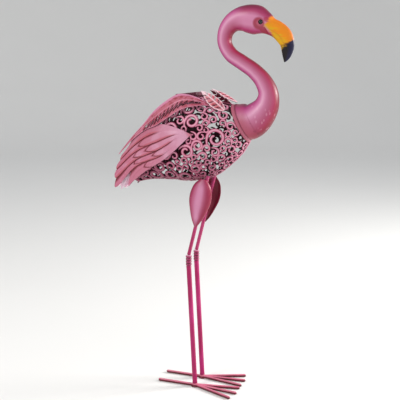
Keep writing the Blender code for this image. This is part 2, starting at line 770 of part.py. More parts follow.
def build_lower_leg(name, side, material, collection):
    """The thicker tube from the ankle to the knee, its ends closed."""
    foot, knee, _, _ = leg_points(side)
    along = (knee - foot).normalized()
    radius = TUBE_DIAMETER / 2
    start = foot + along * (ANKLE_HEIGHT + end_gap(along, radius))
    return bar(name, start, knee - along * end_gap(along, radius), radius, 12, material, collection)


def build_knee(name, side, material, collection):
    """A turned knuckle of rings between the lower tube and the upper rod."""
    ring = WRAP_LENGTH / WRAP_RINGS
    outer = WRAP_DIAMETER / 2
    groove = outer - RING_DEPTH
    profile = [(0, 0), (groove, 0)]
    for k in range(WRAP_RINGS):
        profile += [(outer, ring * (k + 0.30)), (outer, ring * (k + 0.70)), (groove, ring * (k + 1))]
    profile.append((0, WRAP_LENGTH))
    mesh = bpy.data.meshes.new(name)
    mesh.from_pydata([(r, 0, z) for r, z in profile], [(i, i + 1) for i in range(len(profile) - 1)], [])
    knuckle = add_object(name, mesh, material, collection)
    knuckle.location = leg_points(side)[1]
    turn = knuckle.modifiers.new("turned", "SCREW")
    turn.angle, turn.steps, turn.render_steps = math.tau, 8, 8
    turn.use_merge_vertices, turn.merge_threshold = True, 0.00001
    turn.use_normal_calculate = True
    return knuckle


def build_thigh(name, material, collection):
    """A dished teardrop shell on the outer side of the upper rod."""
    top, tip = Vector((THIGH_TOP[0], 0, THIGH_TOP[1])), Vector((THIGH_TIP[0], 0, THIGH_TIP[1]))
    along = tip - top
    forward = Vector((along.z, 0, -along.x)).normalized() * -1
    rim = LEG_SPACING / 2 + ROD_DIAMETER / 2 + GAP + SHEET
    across = 7
    shares = np.array([0, 0.05, 0.14, 0.27, 0.42, 0.56, 0.70, 0.84, 1])
    rows = []
    for t in shares:
        half = float(smooth(t, THIGH_STATIONS, 1))
        depth = THIGH_DEPTH * (half / THIGH_STATIONS[:, 1].max()) ** 0.8
        for a in np.linspace(0, math.pi, across):
            spot = (top + along * t + forward * half * math.cos(a)) * U
            rows.append((spot.x, -rim - depth * U * math.sin(a), spot.z))
    faces = [
        (r * across + c, r * across + c + 1, (r + 1) * across + c + 1, (r + 1) * across + c)
        for r in range(len(shares) - 1)
        for c in range(across - 1)
    ]
    mesh = mesh_of(name, rows, faces)
    made = add_object(name, mesh, material, collection)
    face_outwards(mesh, Vector((15 * U, 0.1, 430 * U)))
    return finish_sheet(made)


def union(base, tools):
    """Joins tools to base with Booleans and removes them."""
    for tool in tools:
        join = base.modifiers.new("join " + tool.name, "BOOLEAN")
        join.operation = "UNION"
        join.object = tool
    graph = bpy.context.evaluated_depsgraph_get()
    mesh = bpy.data.meshes.new_from_object(base.evaluated_get(graph))
    base.modifiers.clear()
    base.data = mesh
    for tool in tools:
        bpy.data.objects.remove(tool)
    return base


def build_foot(name, side, material, collection):
    """Four toe rods welded to an ankle plug, all flat on the ground."""
    centre = leg_points(side)[0]
    radius = TOE_DIAMETER / 2
    sides = 10
    start = centre + Vector((0, 0, radius * math.cos(math.pi / sides)))
    plug = bar(
        name, centre, centre + Vector((0, 0, ANKLE_HEIGHT)), TUBE_DIAMETER / 2 + ANKLE_RIM, 14, material, collection)
    toes = []
    for angle, length in (
        (TOE_OUT, TOE_LENGTH),
        (TOE_OUT - TOE_SPLAY, TOE_LENGTH),
        (TOE_OUT + TOE_SPLAY, TOE_LENGTH),
        (math.pi, BACK_TOE_LENGTH),
    ):
        heading = Vector((math.cos(angle), side * math.sin(angle), 0))
        toe = bar("toe", start, start + heading * length, radius, sides, material, collection)
        toe.data.transform(toe.matrix_basis)
        toe.matrix_basis.identity()
        for corner in toe.data.vertices:
            corner.co.z = round(corner.co.z, 6)
        toes.append(toe)
    plug.data.transform(plug.matrix_basis)
    plug.matrix_basis.identity()
    return union(plug, toes)


# Solar lamp

def box(name, size, centre, material, collection, bevel=0.0):
    shape = bmesh.new()
    bmesh.ops.create_cube(shape, size=1, matrix=Matrix.Translation(centre) @ Matrix.Diagonal((*size, 1)))
    if bevel:
        edges = [e for e in shape.edges if abs((e.verts[0].co - e.verts[1].co).normalized().z) > 0.9]
        bmesh.ops.bevel(shape, geom=edges, offset=bevel, segments=3, affect="EDGES", profile=0.5)
    mesh = bpy.data.meshes.new(name)
    shape.to_mesh(mesh)
    shape.free()
    return add_object(name, mesh, material, collection)


def build_lamp(housing_material, cell_material, lens_material, collection, cutters):
    """A square housing with a sunk solar cell, a stub through the back and a domed lens below."""
    s, point = lamp_frame()
    _, by_s, _ = skin_frame(s, math.pi)
    seat = bpy.data.objects.new("lamp_seat", None)
    collection.objects.link(seat)
    seat.location = Vector(point) + Vector((0, 0, 2 * GAP))
    seat.rotation_euler.y = -math.atan2(-by_s[2], -by_s[0])
    housing = box(
        "solar_housing", (LAMP_SIDE, LAMP_SIDE, LAMP_DEPTH), (0, 0, LAMP_DEPTH / 2),
        housing_material, collection, bevel=LAMP_CORNER)
    recess_side = LAMP_SIDE - 2 * LAMP_WALL
    recess = box(
        "cell_recess", (recess_side, recess_side, LAMP_DEPTH), (0, 0, LAMP_DEPTH * 1.5 - CELL_DEPTH - GAP),
        housing_material, cutters)
    stub = bar(
        "stub", (0, 0, -STUB_LENGTH), (0, 0, LAMP_DEPTH / 2), STUB_DIAMETER / 2, 16, housing_material, collection)
    cut = housing.modifiers.new("cell recess", "BOOLEAN")
    cut.operation = "DIFFERENCE"
    cut.object = recess
    union(housing, [stub])
    bpy.data.objects.remove(recess)
    cell_side = recess_side - 2 * GAP
    cell = box(
        "solar_panel", (cell_side, cell_side, CELL_DEPTH - GAP), (0, 0, LAMP_DEPTH - (CELL_DEPTH + GAP) / 2),
        cell_material, collection)
    lens_radius = STUB_DIAMETER / 2 - LENS_RIM
    lens = add_object("lamp_lens", half_ball(lens_radius, lens_radius, "lamp_lens", False), lens_material, collection)
    lens.location.z = -STUB_LENGTH - GAP
    for piece in (housing, cell, lens):
        piece.parent = seat
    return housing


def build():
    clear_scene()
    bird = make_collection("solar_flamingo_light")
    cutters = make_collection("cutters", shown=False)

    build_body(finish("body"), bird)
    build_neck(finish("neck"), bird)
    pair("eye", build_eye, finish("eye", 0.08, 0), bird)
    formed_pair("wing", build_wing, finish("wing"), bird)
    formed_pair("wing_cover", build_cover, finish("cover"), bird)
    feather = finish("feather")
    formed_pair("back_feather", build_side_leaf, feather, bird)
    build_leaf("back_feather_middle", *MIDDLE_LEAF, (0, 0, 1), feather, bird)
    build_tail(finish("tail"), bird)
    formed_pair("thigh", build_thigh, finish("thigh"), bird)
    pair("upper_leg", build_upper_leg, finish("rod"), bird)
    pair("knee_knuckle", build_knee, finish("knuckle"), bird)
    pair("lower_leg", build_lower_leg, finish("tube"), bird)
    pair("foot", build_foot, finish("foot"), bird)
    build_lamp(finish("housing", 0.4, 0), finish("cell", 0.15, 0), finish("lens", 0.1, 0), bird, cutters)
    ground = bpy.data.objects.new("ground_between_the_legs", None)
    ground.location.x = -MIDDLE * U
    for piece in bird.objects:
        if not piece.parent:
            piece.parent = ground
    bird.objects.link(ground)


build()
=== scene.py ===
import json
import math

import bmesh
import bpy
import numpy as np
from mathutils import Matrix, Vector

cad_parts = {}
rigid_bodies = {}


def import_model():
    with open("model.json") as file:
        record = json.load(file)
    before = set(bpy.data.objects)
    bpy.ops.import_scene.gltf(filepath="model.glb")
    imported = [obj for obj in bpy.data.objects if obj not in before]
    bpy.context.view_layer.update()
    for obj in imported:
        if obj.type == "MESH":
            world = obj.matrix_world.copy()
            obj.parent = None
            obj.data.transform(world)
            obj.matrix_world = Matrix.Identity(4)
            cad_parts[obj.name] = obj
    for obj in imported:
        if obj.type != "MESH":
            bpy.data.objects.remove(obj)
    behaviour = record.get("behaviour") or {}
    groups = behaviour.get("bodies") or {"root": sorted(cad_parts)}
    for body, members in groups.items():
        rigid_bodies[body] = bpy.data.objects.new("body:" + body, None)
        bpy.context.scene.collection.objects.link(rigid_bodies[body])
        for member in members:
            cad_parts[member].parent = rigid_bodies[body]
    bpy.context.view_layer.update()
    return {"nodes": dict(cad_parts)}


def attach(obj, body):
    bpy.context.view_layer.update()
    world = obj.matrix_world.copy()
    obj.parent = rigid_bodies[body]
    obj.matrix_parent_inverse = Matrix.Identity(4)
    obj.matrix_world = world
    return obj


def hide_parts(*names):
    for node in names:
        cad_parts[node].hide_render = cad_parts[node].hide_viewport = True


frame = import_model()
print("frame loaded:", len(frame["nodes"]), "nodes")

# The bird's form is in millimetres from the ground between its legs, as in the part's source
bird = {
    "middle": 7.4,            # the origin lies this far in front of the ground between the legs
    "ring": (105.0, 608.0),   # middle of the neck ring, x and z
    "tilt": math.radians(26), # fall of the body line towards the tail
    "end": 285.0,             # length of the body along that line
    "gap": 0.3,               # left between pieces that touch
    "sheet": 1.8,             # thickness of the metal
    "legSpacing": 50.0,
    "knee": (-12.5, 286.0),   # x, z of the lower tube's top
    "hip": (33.0, 493.0),     # x, z of the upper rod's top, inside the body
    "ankle": 2.0,             # x of the foot's middle
}

# along the body, back line, belly line, half width
bodyStations = np.array([
    (0, 40, -40, 36), (30, 61, -59, 50), (70, 92, -73, 62), (110, 106, -80, 68),
    (160, 102, -69, 64), (210, 83, -44, 50), (255, 56, -25, 33), (285, 31, -18, 21)], float)


def hermite(at, table, column):
    # cubic through a table's rows, which meets the value and central slope at each row
    knots, values = table[:, 0], table[:, column]
    slope = np.gradient(values, knots)
    at = np.asarray(at, float)
    i = np.clip(np.searchsorted(knots, at) - 1, 0, len(knots) - 2)
    span = knots[i + 1] - knots[i]
    t = (at - knots[i]) / span
    return ((2 * t**3 - 3 * t**2 + 1) * values[i] + (t**3 - 2 * t**2 + t) * span * slope[i]
            + (3 * t**2 - 2 * t**3) * values[i + 1] + (t**3 - t**2) * span * slope[i + 1])


def resample(points, count):
    # the same cubic through points in order, read at count even steps between them
    points = np.asarray(points, float)
    chord = np.concatenate([[0], np.cumsum(np.linalg.norm(np.diff(points[:, :2], axis=0), axis=1))])
    table = np.column_stack([chord, points])
    share = np.interp(np.linspace(0, 1, count), np.linspace(0, 1, len(chord)), chord)
    return np.column_stack([hermite(share, table, c + 1) for c in range(points.shape[1])])


def smoothStep(low, high, value):
    # 0 at low, 1 at high, an S-curve between
    t = np.clip((np.asarray(value, float) - low) / (high - low), 0, 1)
    return t * t * (3 - 2 * t)


def hump(away, width):
    # bell curve: 1 at zero, exp(-1) at the width
    return np.exp(-((away / width) ** 2))


def unit(vector):
    # the same direction, one long
    vector = np.asarray(vector, float)
    return vector / np.linalg.norm(vector)


def circle(sides):
    # even angles all the way round
    return np.arange(sides) * math.tau / sides


def quarter(count):
    # angles from zero to a right angle
    return np.linspace(0, math.pi / 2, count)


def bodyPoint(s, n, y):
    # s runs down the tilted body line, n across it upwards, y to the bird's left
    s, n, y = np.broadcast_arrays(*(np.asarray(a, float) for a in (s, n, y)))
    x = bird["ring"][0] - s * math.cos(bird["tilt"]) - n * math.sin(bird["tilt"])
    z = bird["ring"][1] - s * math.sin(bird["tilt"]) + n * math.cos(bird["tilt"])
    return np.stack([x, y, z], axis=-1)


def bodySkin(s, turn):
    # ellipse arcs between the belly and back lines: turn 0 at the belly, pi at the back, right side
    back, belly, width = (hermite(s, bodyStations, c) for c in (1, 2, 3))
    middle, half = (back + belly) / 2, (back - belly) / 2
    return bodyPoint(s, middle - half * np.cos(turn), -width * np.sin(turn))


# Meshes

def makeMesh(name, points, faces, attributes=None):
    # points in millimetres from the ground between the legs become metres from the origin
    points = (np.asarray(points, float) - (bird["middle"], 0, 0)) / 1000
    mesh = bpy.data.meshes.new(name)
    mesh.from_pydata(points.tolist(), [], [list(map(int, face)) for face in faces])
    for key, values in (attributes or {}).items():
        layer = mesh.attributes.new(key, "FLOAT", "POINT")
        layer.data.foreach_set("value", np.asarray(values, np.float32).ravel())
    mesh.update()
    mesh.shade_smooth()
    return outwards(mesh)


def outwards(mesh):
    # a closed mesh whose signed volume is negative is turned the right way round
    shape = bmesh.new()
    shape.from_mesh(mesh)
    if shape.calc_volume(signed=True) < 0:
        bmesh.ops.reverse_faces(shape, faces=shape.faces)
    shape.to_mesh(mesh)
    shape.free()
    return mesh


def addPiece(name, mesh, material, slot, *nodes):
    piece = bpy.data.objects.new(name, mesh)
    bpy.context.scene.collection.objects.link(piece)
    piece.data.materials.append(material)
    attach(piece, "root")
    if nodes:
        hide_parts(*nodes)
    return piece


def mirrorMesh(name, mesh):
    # the left-hand copy: y changes sign and the faces are turned round again
    copy = mesh.copy()
    copy.name = name
    copy.transform(Matrix.Diagonal((1, -1, 1, 1)))
    copy.flip_normals()
    return copy


def addPair(name, mesh, material, slot, *nodes):
    # a right-hand piece and its mirrored left-hand one
    addPiece(name + "Right", mesh, material, slot, *(node + "_right" for node in nodes))
    copy = mirrorMesh(name + "Left", mesh)
    addPiece(name + "Left", copy, material, slot, *(node + "_left" for node in nodes))


def gridFaces(rows, columns, closed=False):
    # quads between neighbouring rows of a grid, wrapping round where the rows are closed
    across = np.arange(columns if closed else columns - 1)
    r, c = np.meshgrid(np.arange(rows - 1), across, indexing="ij")
    after = (c + 1) % columns
    quad = [r * columns + c, r * columns + after, (r + 1) * columns + after, (r + 1) * columns + c]
    return np.stack(quad, axis=-1).reshape(-1, 4)


def tubeFaces(rows, sides, poles=2):
    # closed rows of a grid, with a fan at the first row and one at the last, to the poles that
    # follow the grid's points
    around = np.arange(sides)
    after = (around + 1) % sides
    last = (rows - 1) * sides
    pole = np.full(sides, rows * sides)
    faces = gridFaces(rows, sides, closed=True).tolist()
    faces += np.column_stack([pole, after, around]).tolist()
    if poles == 2:
        faces += np.column_stack([pole + 1, last + around, last + after]).tolist()
    return faces


def surfaceNormals(points):
    # cross product of the two grid directions, made unit length
    normal = np.cross(np.gradient(points, axis=0), np.gradient(points, axis=1))
    return normal / np.maximum(np.linalg.norm(normal, axis=-1, keepdims=True), 1e-9)


def rimLoops(faces):
    # directed edges that only one face uses
    pairs = np.concatenate([
        np.stack([face, np.roll(face, -1, axis=1)], axis=-1).reshape(-1, 2) for face in faces])
    top = pairs.max() + 1
    key, back = pairs[:, 0] * top + pairs[:, 1], pairs[:, 1] * top + pairs[:, 0]
    return pairs[~np.isin(key, back)]


def thicken(outer, faces, inner):
    # a closed sheet: outer faces, the same faces turned round on the inner points, and a rim
    count = len(outer)
    edges = rimLoops(faces)
    solid = [face.tolist() for face in faces] + [(face[:, ::-1] + count).tolist() for face in faces]
    rim = np.column_stack([edges[:, 1], edges[:, 0], edges[:, 0] + count, edges[:, 1] + count])
    return np.vstack([outer, inner]), [f for group in solid for f in group] + rim.tolist()


def closedSheet(name, outer, faces, inner, attributes):
    # a closed sheet from two lists of points, with the same values on both sides
    points, solid = thicken(outer, faces, inner)
    values = {key: np.tile(value, 2) for key, value in attributes.items()}
    values["inner"] = np.repeat([0.0, 1.0], len(outer))
    return makeMesh(name, points, solid, values)


def sheetMesh(name, outer, inner, attributes):
    # a closed sheet from two grids of points, with one value per grid point for each attribute
    grid = outer.shape[:2]
    values = {key: np.broadcast_to(value, grid).ravel() for key, value in attributes.items()}
    return closedSheet(name, outer.reshape(-1, 3), [gridFaces(*grid)], inner.reshape(-1, 3), values)


def cutGrid(field):
    # Marching squares that keeps the side where the field is below zero. Gives the kept points as
    # fractional grid places (row, column), and the faces as arrays of 3, 4, 5 or 6 corners.
    rows, columns = field.shape
    keep = field < 0
    cornerId = np.where(keep, np.cumsum(keep).reshape(rows, columns) - 1, -1)
    places = [np.argwhere(keep).astype(float)]
    count = int(keep.sum())
    crossId = []
    for axis in (0, 1):
        first = field[:-1] if axis == 0 else field[:, :-1]
        second = field[1:] if axis == 0 else field[:, 1:]
        cut = (first < 0) != (second < 0)
        spot = np.argwhere(cut).astype(float)
        spot[:, axis] += np.clip(first[cut] / (first[cut] - second[cut]), 0.06, 0.94)
        ids = np.full(cut.shape, -1)
        ids[cut] = count + np.arange(len(spot))
        count += len(spot)
        crossId.append(ids)
        places.append(spot)
    corners = [cornerId[:-1, :-1], cornerId[1:, :-1], cornerId[1:, 1:], cornerId[:-1, 1:]]
    edges = [crossId[0][:, :-1], crossId[1][1:, :], crossId[0][:, 1:], crossId[1][:-1, :]]
    code = sum((corners[k] >= 0).astype(int) << k for k in range(4))
    faces = {}
    for case in range(1, 16):
        here = code == case
        if not here.any():
            continue
        walk = []
        for k in range(4):
            if case >> k & 1:
                walk.append(corners[k][here])
            if (case >> k & 1) != (case >> (k + 1) % 4 & 1):
                walk.append(edges[k][here])
        faces.setdefault(len(walk), []).append(np.stack(walk, axis=-1))
    return np.concatenate(places), [np.concatenate(group) for group in faces.values()]


def readGrid(values, places):
    # bilinear reading of a grid at fractional places
    row = np.clip(places[:, 0].astype(int), 0, values.shape[0] - 2)
    column = np.clip(places[:, 1].astype(int), 0, values.shape[1] - 2)
    a, b = places[:, 0] - row, places[:, 1] - column
    if values.ndim == 3:
        a, b = a[:, None], b[:, None]
    return ((1 - a) * (1 - b) * values[row, column] + a * (1 - b) * values[row + 1, column]
            + (1 - a) * b * values[row, column + 1] + a * b * values[row + 1, column + 1])


def cutSheet(name, outer, inner, field, attributes):
    # a closed sheet from two grids of points, less the places where the field is above zero
    places, faces = cutGrid(field)
    values = {key: readGrid(value, places) for key, value in attributes.items()}
    return closedSheet(name, readGrid(outer, places), faces, readGrid(inner, places), values)


def turned(profile, origin, direction, sides=32):
    # A profile of (radius, height) pairs carried round an axis: each point is origin + height along
    # the axis + radius across it. The two ends are poles on the axis.
    profile = np.asarray(profile, float)
    axis = unit(direction)
    side = unit(np.cross(axis, (0, 1, 0) if abs(axis[1]) < 0.9 else (1, 0, 0)))
    angle = circle(sides)[:, None]
    ring = np.cos(angle) * side + np.sin(angle) * np.cross(axis, side)
    middle = profile[1:-1]
    points = np.asarray(origin) + middle[:, None, 1:] * axis + middle[:, None, :1] * ring
    ends = np.asarray(origin) + profile[[0, -1], 1][:, None] * axis
    return np.vstack([points.reshape(-1, 3), ends]), tubeFaces(len(middle), sides)


def roundedBar(radius, length, rim, between=np.empty((0, 2))):
    # profile of a bar whose end edges are rounded by rim, with rows of its own between them
    arc = quarter(4)
    low = np.column_stack([radius - rim + rim * np.sin(arc), rim - rim * np.cos(arc)])
    high = np.column_stack([low[::-1, 0], length - low[::-1, 1]])
    return np.vstack([[(0, 0)], low, between, high, [(0, length)]])


def joinParts(parts):
    # several closed shells in one list of points and faces
    points, faces, first = [], [], 0
    for part, partFaces in parts:
        points.append(np.asarray(part, float))
        faces += [[index + first for index in face] for face in partFaces]
        first += len(part)
    return np.vstack(points), faces


# Materials

class Link:
    # one output socket of a material, with arithmetic that adds Math nodes
    def __init__(self, paint, socket):
        self.paint, self.socket = paint, socket

    def math(self, operation, *others):
        return self.paint.node("ShaderNodeMath", {"operation": operation}, [self, *others])

    def __add__(self, other):
        return self.math("ADD", other)

    def __sub__(self, other):
        return self.math("SUBTRACT", other)

    def __rsub__(self, other):
        return self.paint.node("ShaderNodeMath", {"operation": "SUBTRACT"}, [other, self])

    def __mul__(self, other):
        return self.math("MULTIPLY", other)

    def __truediv__(self, other):
        return self.math("DIVIDE", other)

    def __abs__(self):
        return self.math("ABSOLUTE")

    __radd__, __rmul__ = __add__, __mul__


class Paint:
    # a material being built, with its Principled shader and the colour laid on so far
    def __init__(self, name, roughness=0.4, coat=0.0, coatRoughness=0.25, shine=0.35):
        self.material = bpy.data.materials.new(name)
        self.material.use_nodes = True
        self.nodes, self.links = self.material.node_tree.nodes, self.material.node_tree.links
        self.shader = self.nodes["Principled BSDF"]
        self.tone = None
        for socket, value in (("Roughness", roughness), ("Specular IOR Level", shine),
                              ("Coat Weight", coat), ("Coat Roughness", coatRoughness)):
            self.set(socket, value)

    def node(self, kind, settings=None, values=None, output=0):
        made = self.nodes.new(kind)
        for key, value in (settings or {}).items():
            setattr(made, key, value)
        pairs = values.items() if isinstance(values, dict) else enumerate(values or [])
        for key, value in pairs:
            self.feed(made.inputs[key], value)
        return Link(self, made.outputs[output])

    def feed(self, socket, value):
        if isinstance(value, Link):
            self.links.new(value.socket, socket)
        elif socket.type == "RGBA":
            socket.default_value = (*value, 1)
        else:
            socket.default_value = value

    def set(self, name, value):
        self.feed(self.shader.inputs[name], value)

    def attribute(self, name):
        return self.node("ShaderNodeAttribute", {"attribute_name": name}, output="Fac")

    def place(self, stretch=(1, 1, 1)):
        here = self.node("ShaderNodeTexCoord", output="Object")
        return self.node("ShaderNodeMapping", values={"Vector": here, "Scale": stretch})

    def axis(self, which):
        return self.node("ShaderNodeSeparateXYZ", values=[self.place()], output=which)

    def noise(self, scale, detail=2.0, roughness=0.5, stretch=(1, 1, 1)):
        return self.node("ShaderNodeTexNoise", values={
            "Vector": self.place(stretch), "Scale": scale, "Detail": detail,
            "Roughness": roughness})

    def cells(self, scale, scatter=1.0, stretch=(1, 1, 1)):
        # distance to the nearest of scattered points
        return self.node("ShaderNodeTexVoronoi", {"feature": "F1"}, {
            "Vector": self.place(stretch), "Scale": scale, "Randomness": scatter})

    def ramp(self, value, *stops):
        made = self.node("ShaderNodeValToRGB", values=[value])
        elements = made.socket.node.color_ramp.elements
        while len(elements) < len(stops):
            elements.new(0.5)
        for element, (place, colour) in zip(elements, stops):
            element.position = place
            element.color = (*colour, 1)
        return made

    def band(self, value, low, high):
        # an S-curve from 0 at low to 1 at high
        return self.node("ShaderNodeMapRange", {"interpolation_type": "SMOOTHSTEP"},
                         [value, low, high, 0.0, 1.0])

    def mix(self, share, first, second):
        return self.node("ShaderNodeMix", {"data_type": "RGBA"},
                         {0: share, 6: first, 7: second}, output=2)

    def layer(self, share, colour):
        # a colour laid over the ones so far, by a share
        self.tone = self.mix(share, self.tone, colour)

    def finish(self, height, strength, distance, roughness=None):
        # the colours, a bump of the height and, where it varies, the roughness go to the shader
        self.set("Base Color", self.tone)
        self.set("Normal", self.node("ShaderNodeBump", values={
            "Strength": strength, "Distance": distance, "Height": height}))
        if roughness:
            self.set("Roughness", roughness)
        return self.material


def legPoints():
    # foot, lower and upper end of the upright knee knuckle, and hip of the right leg
    y = -bird["legSpacing"] / 2
    knee = np.array([bird["knee"][0], y, bird["knee"][1]])
    return (np.array([bird["ankle"], y, 0.0]), knee, knee + (0, 0, knuckle["length"]),
            np.array([bird["hip"][0], y, bird["hip"][1]]))


knuckle = {"length": 24.0, "radius": 6.75, "rings": 4, "groove": 1.5, "rows": 161, "sides": 40}
legs = {"rodRadius": 4.0, "tubeRadius": 5.5, "rim": 0.8}
lamp = {
    "s": 88.0,                         # how far down the body it stands
    "side": 50.0, "depth": 8.5, "wall": 3.2, "corner": 4.0, "inCorner": 1.5,
    "rims": (1.2, 0.9, 0.5),           # rounding of the foot, the top edge and the recess's edge
    "cell": 2.0, "cellSunk": 0.35, "cellCorner": 1.2,
    "stubRadius": 15.0, "stub": 13.0, "stubIn": 3, "lensRim": 5.0,
    "play": 1.0,                       # room round the stub and the rods in the body
}


# Pierced body

scrollwork = {
    # width of a band: share of its scroll's radius, what is added, least and most
    "width": (0.40, 1.3, 4.0, 7.4),
    "weld": 1.7,               # how softly two bands run together where they meet
    "overlap": 1.0,            # how far neighbouring scrolls run into each other
    "large": 18.0, "small": 5.9,            # radius of the scrolls that fill the rest
    "grid": (150, 130),        # places tried for them, down the body and round it
    # their largest size swings by this share at this rate, places near this one come first by this
    # much, and each starts this much further round
    "swing": (0.16, 2.4), "centre": (120, 0.02), "turn": 137.5,
    "rodSearch": ((90, 160, 141), (0.1, 1.2, 221)),   # where the rods may come through the skin
    "seam": 3.0, "ends": 7.0,  # solid edge at the middle plane, and at the ring and tail
    "collar": 4.6, "clear": 2.5,            # ring round a hole, and scrolls' least distance from it
    "valley": -0.9, "crest": 0.8,           # paint surface below and above the body's form
    "wall": 2.1,
    "rows": 252, "columns": 216,
    # the tail's closing rows, the length they count as, and the height of their middle
    "endRows": 9, "endLength": 25, "endMiddle": 6.5,
    "ringBelow": 6.8, "curlBelow": 11.5,    # radius below which a scroll is a ring, or a short curl
    # whole sweep, sweep at which it starts to wind in, and how far in it winds
    "spiral": (410, 160, 0.66), "curl": (312, 95, 0.56), "ring": (262, 80, 0.30),
    "taper": 0.42,             # how much narrower a band gets as it winds in
    "ball": (0.62, 0.56),      # the same for the ball at its end, and the ball's share of the width
    # how far round, and how far out, a band runs on to its neighbour, its width and its taper
    "stem": (62, 0.34, 0.92, 0.40),
}

# The scrolls that show on the side: distance down the body, turn round it from the belly, radius,
# angle where the band starts, and which way it winds inwards
sideScrolls = [
    (87, 1.97, 15.8, 170, -1), (55, 1.37, 19.9, 180, -1), (123, 1.34, 15.0, 110, -1),
    (95, 1.61, 8.9, 60, -1), (79, 1.54, 9.2, 120, 1), (61, 2.30, 9.0, 0, 1),
    (46, 2.32, 9.1, 180, -1), (110, 2.08, 10.6, 100, -1), (108, 1.84, 7.0, 0, 1),
    (154, 1.33, 9.7, 150, -1), (81, 1.20, 8.9, 150, -1), (44, 1.94, 9.0, 200, -1),
    (60, 1.84, 7.4, 180, -1), (22, 2.13, 11.4, 180, 1), (29, 1.79, 8.0, 0, 1),
    (29, 1.36, 8.0, 90, -1), (36, 1.10, 9.0, 0, 1), (52, 0.99, 8.4, -60, 1),
    (70, 1.01, 10.6, 60, -1), (97, 1.06, 10.8, 140, -1), (114, 1.13, 7.1, 60, 1),
    (66, 0.73, 10.1, 180, -1), (95, 0.85, 6.9, 0, 1), (39, 0.80, 9.8, 90, -1),
    (22, 1.03, 7.3, 180, 1), (23, 0.74, 8.0, 60, -1), (139, 1.13, 8.4, 0, 1),
    (128, 0.82, 12.0, -100, 1), (175, 1.06, 10.9, 180, -1), (57, 0.46, 10.2, 120, -1),
    (160, 0.94, 8.6, 0, 1), (75, 0.50, 8.1, 0, 1), (32, 0.28, 9.7, 180, 1),
    (144, 0.94, 8.0, 180, -1), (108, 0.77, 8.2, 90, 1), (94, 0.65, 8.7, 0, -1),
]


def skinFrame(s, turn):
    # point on the skin, and unit directions forwards along it and up round it
    step = 1e-3
    point = bodySkin(s, turn)
    across = unit(point - bodySkin(s + step, turn))
    up = bodySkin(s, turn + step) - point
    return point, across, unit(up - (up @ across) * across)


def rodAxisPoint():
    # where the right upper rod's centre line comes nearest to the skin under the body
    _, _, start, end = legPoints()
    along = unit(end - start)
    s, turn = np.meshgrid(*(np.linspace(*r) for r in scrollwork["rodSearch"]), indexing="ij")
    offset = bodySkin(s, turn) - end
    away = np.linalg.norm(offset - (offset @ along)[..., None] * along, axis=-1)
    best = np.unravel_index(np.argmin(away), away.shape)
    return bodySkin(s[best], turn[best]), along, end


def placeScrolls(keepClear):
    # The side's scrolls, then the largest circle that still fits, again and again: room is the
    # distance from each place on a grid to the nearest circle, seam or end.
    rows, columns = scrollwork["grid"]
    s, turn = (a.ravel() for a in np.meshgrid(
        np.linspace(6, bird["end"] - 6, rows), np.linspace(0.03, math.pi - 0.03, columns),
        indexing="ij"))
    place = bodySkin(s, turn)
    room = np.minimum(-place[:, 1] - scrollwork["seam"] + 1,
                      np.minimum(s, bird["end"] - s) - scrollwork["ends"] + 1)
    for centre, radius in keepClear:
        room = np.minimum(room, np.linalg.norm(place - centre, axis=1) - radius)
    scrolls = []
    for scroll in sideScrolls:
        middle = bodySkin(scroll[0], scroll[1])
        free = min(np.linalg.norm(middle - centre) - radius for centre, radius in keepClear)
        if free > scrollwork["small"]:
            scrolls.append((scroll[0], scroll[1], min(scroll[2], free), *scroll[3:]))
            room = np.minimum(room, np.linalg.norm(place - middle, axis=1) - scrolls[-1][2])
    while True:
        number = len(scrolls)
        (swing, rate), (centre, favour) = scrollwork["swing"], scrollwork["centre"]
        cap = scrollwork["large"] * (1 - swing + swing * math.cos(rate * number))
        fits = room >= cap
        near = np.where(fits, room + favour * np.abs(s - centre), np.inf)
        best = np.argmin(near) if fits.any() else np.argmax(room)
        radius = min(cap, room[best])
        if radius < scrollwork["small"]:
            return scrolls
        start, hand = scrollwork["turn"] * number % 360, 1 if number % 2 else -1
        scrolls.append((s[best], turn[best], radius, start, hand))
        room = np.minimum(room, np.linalg.norm(place - place[best], axis=1) - radius)


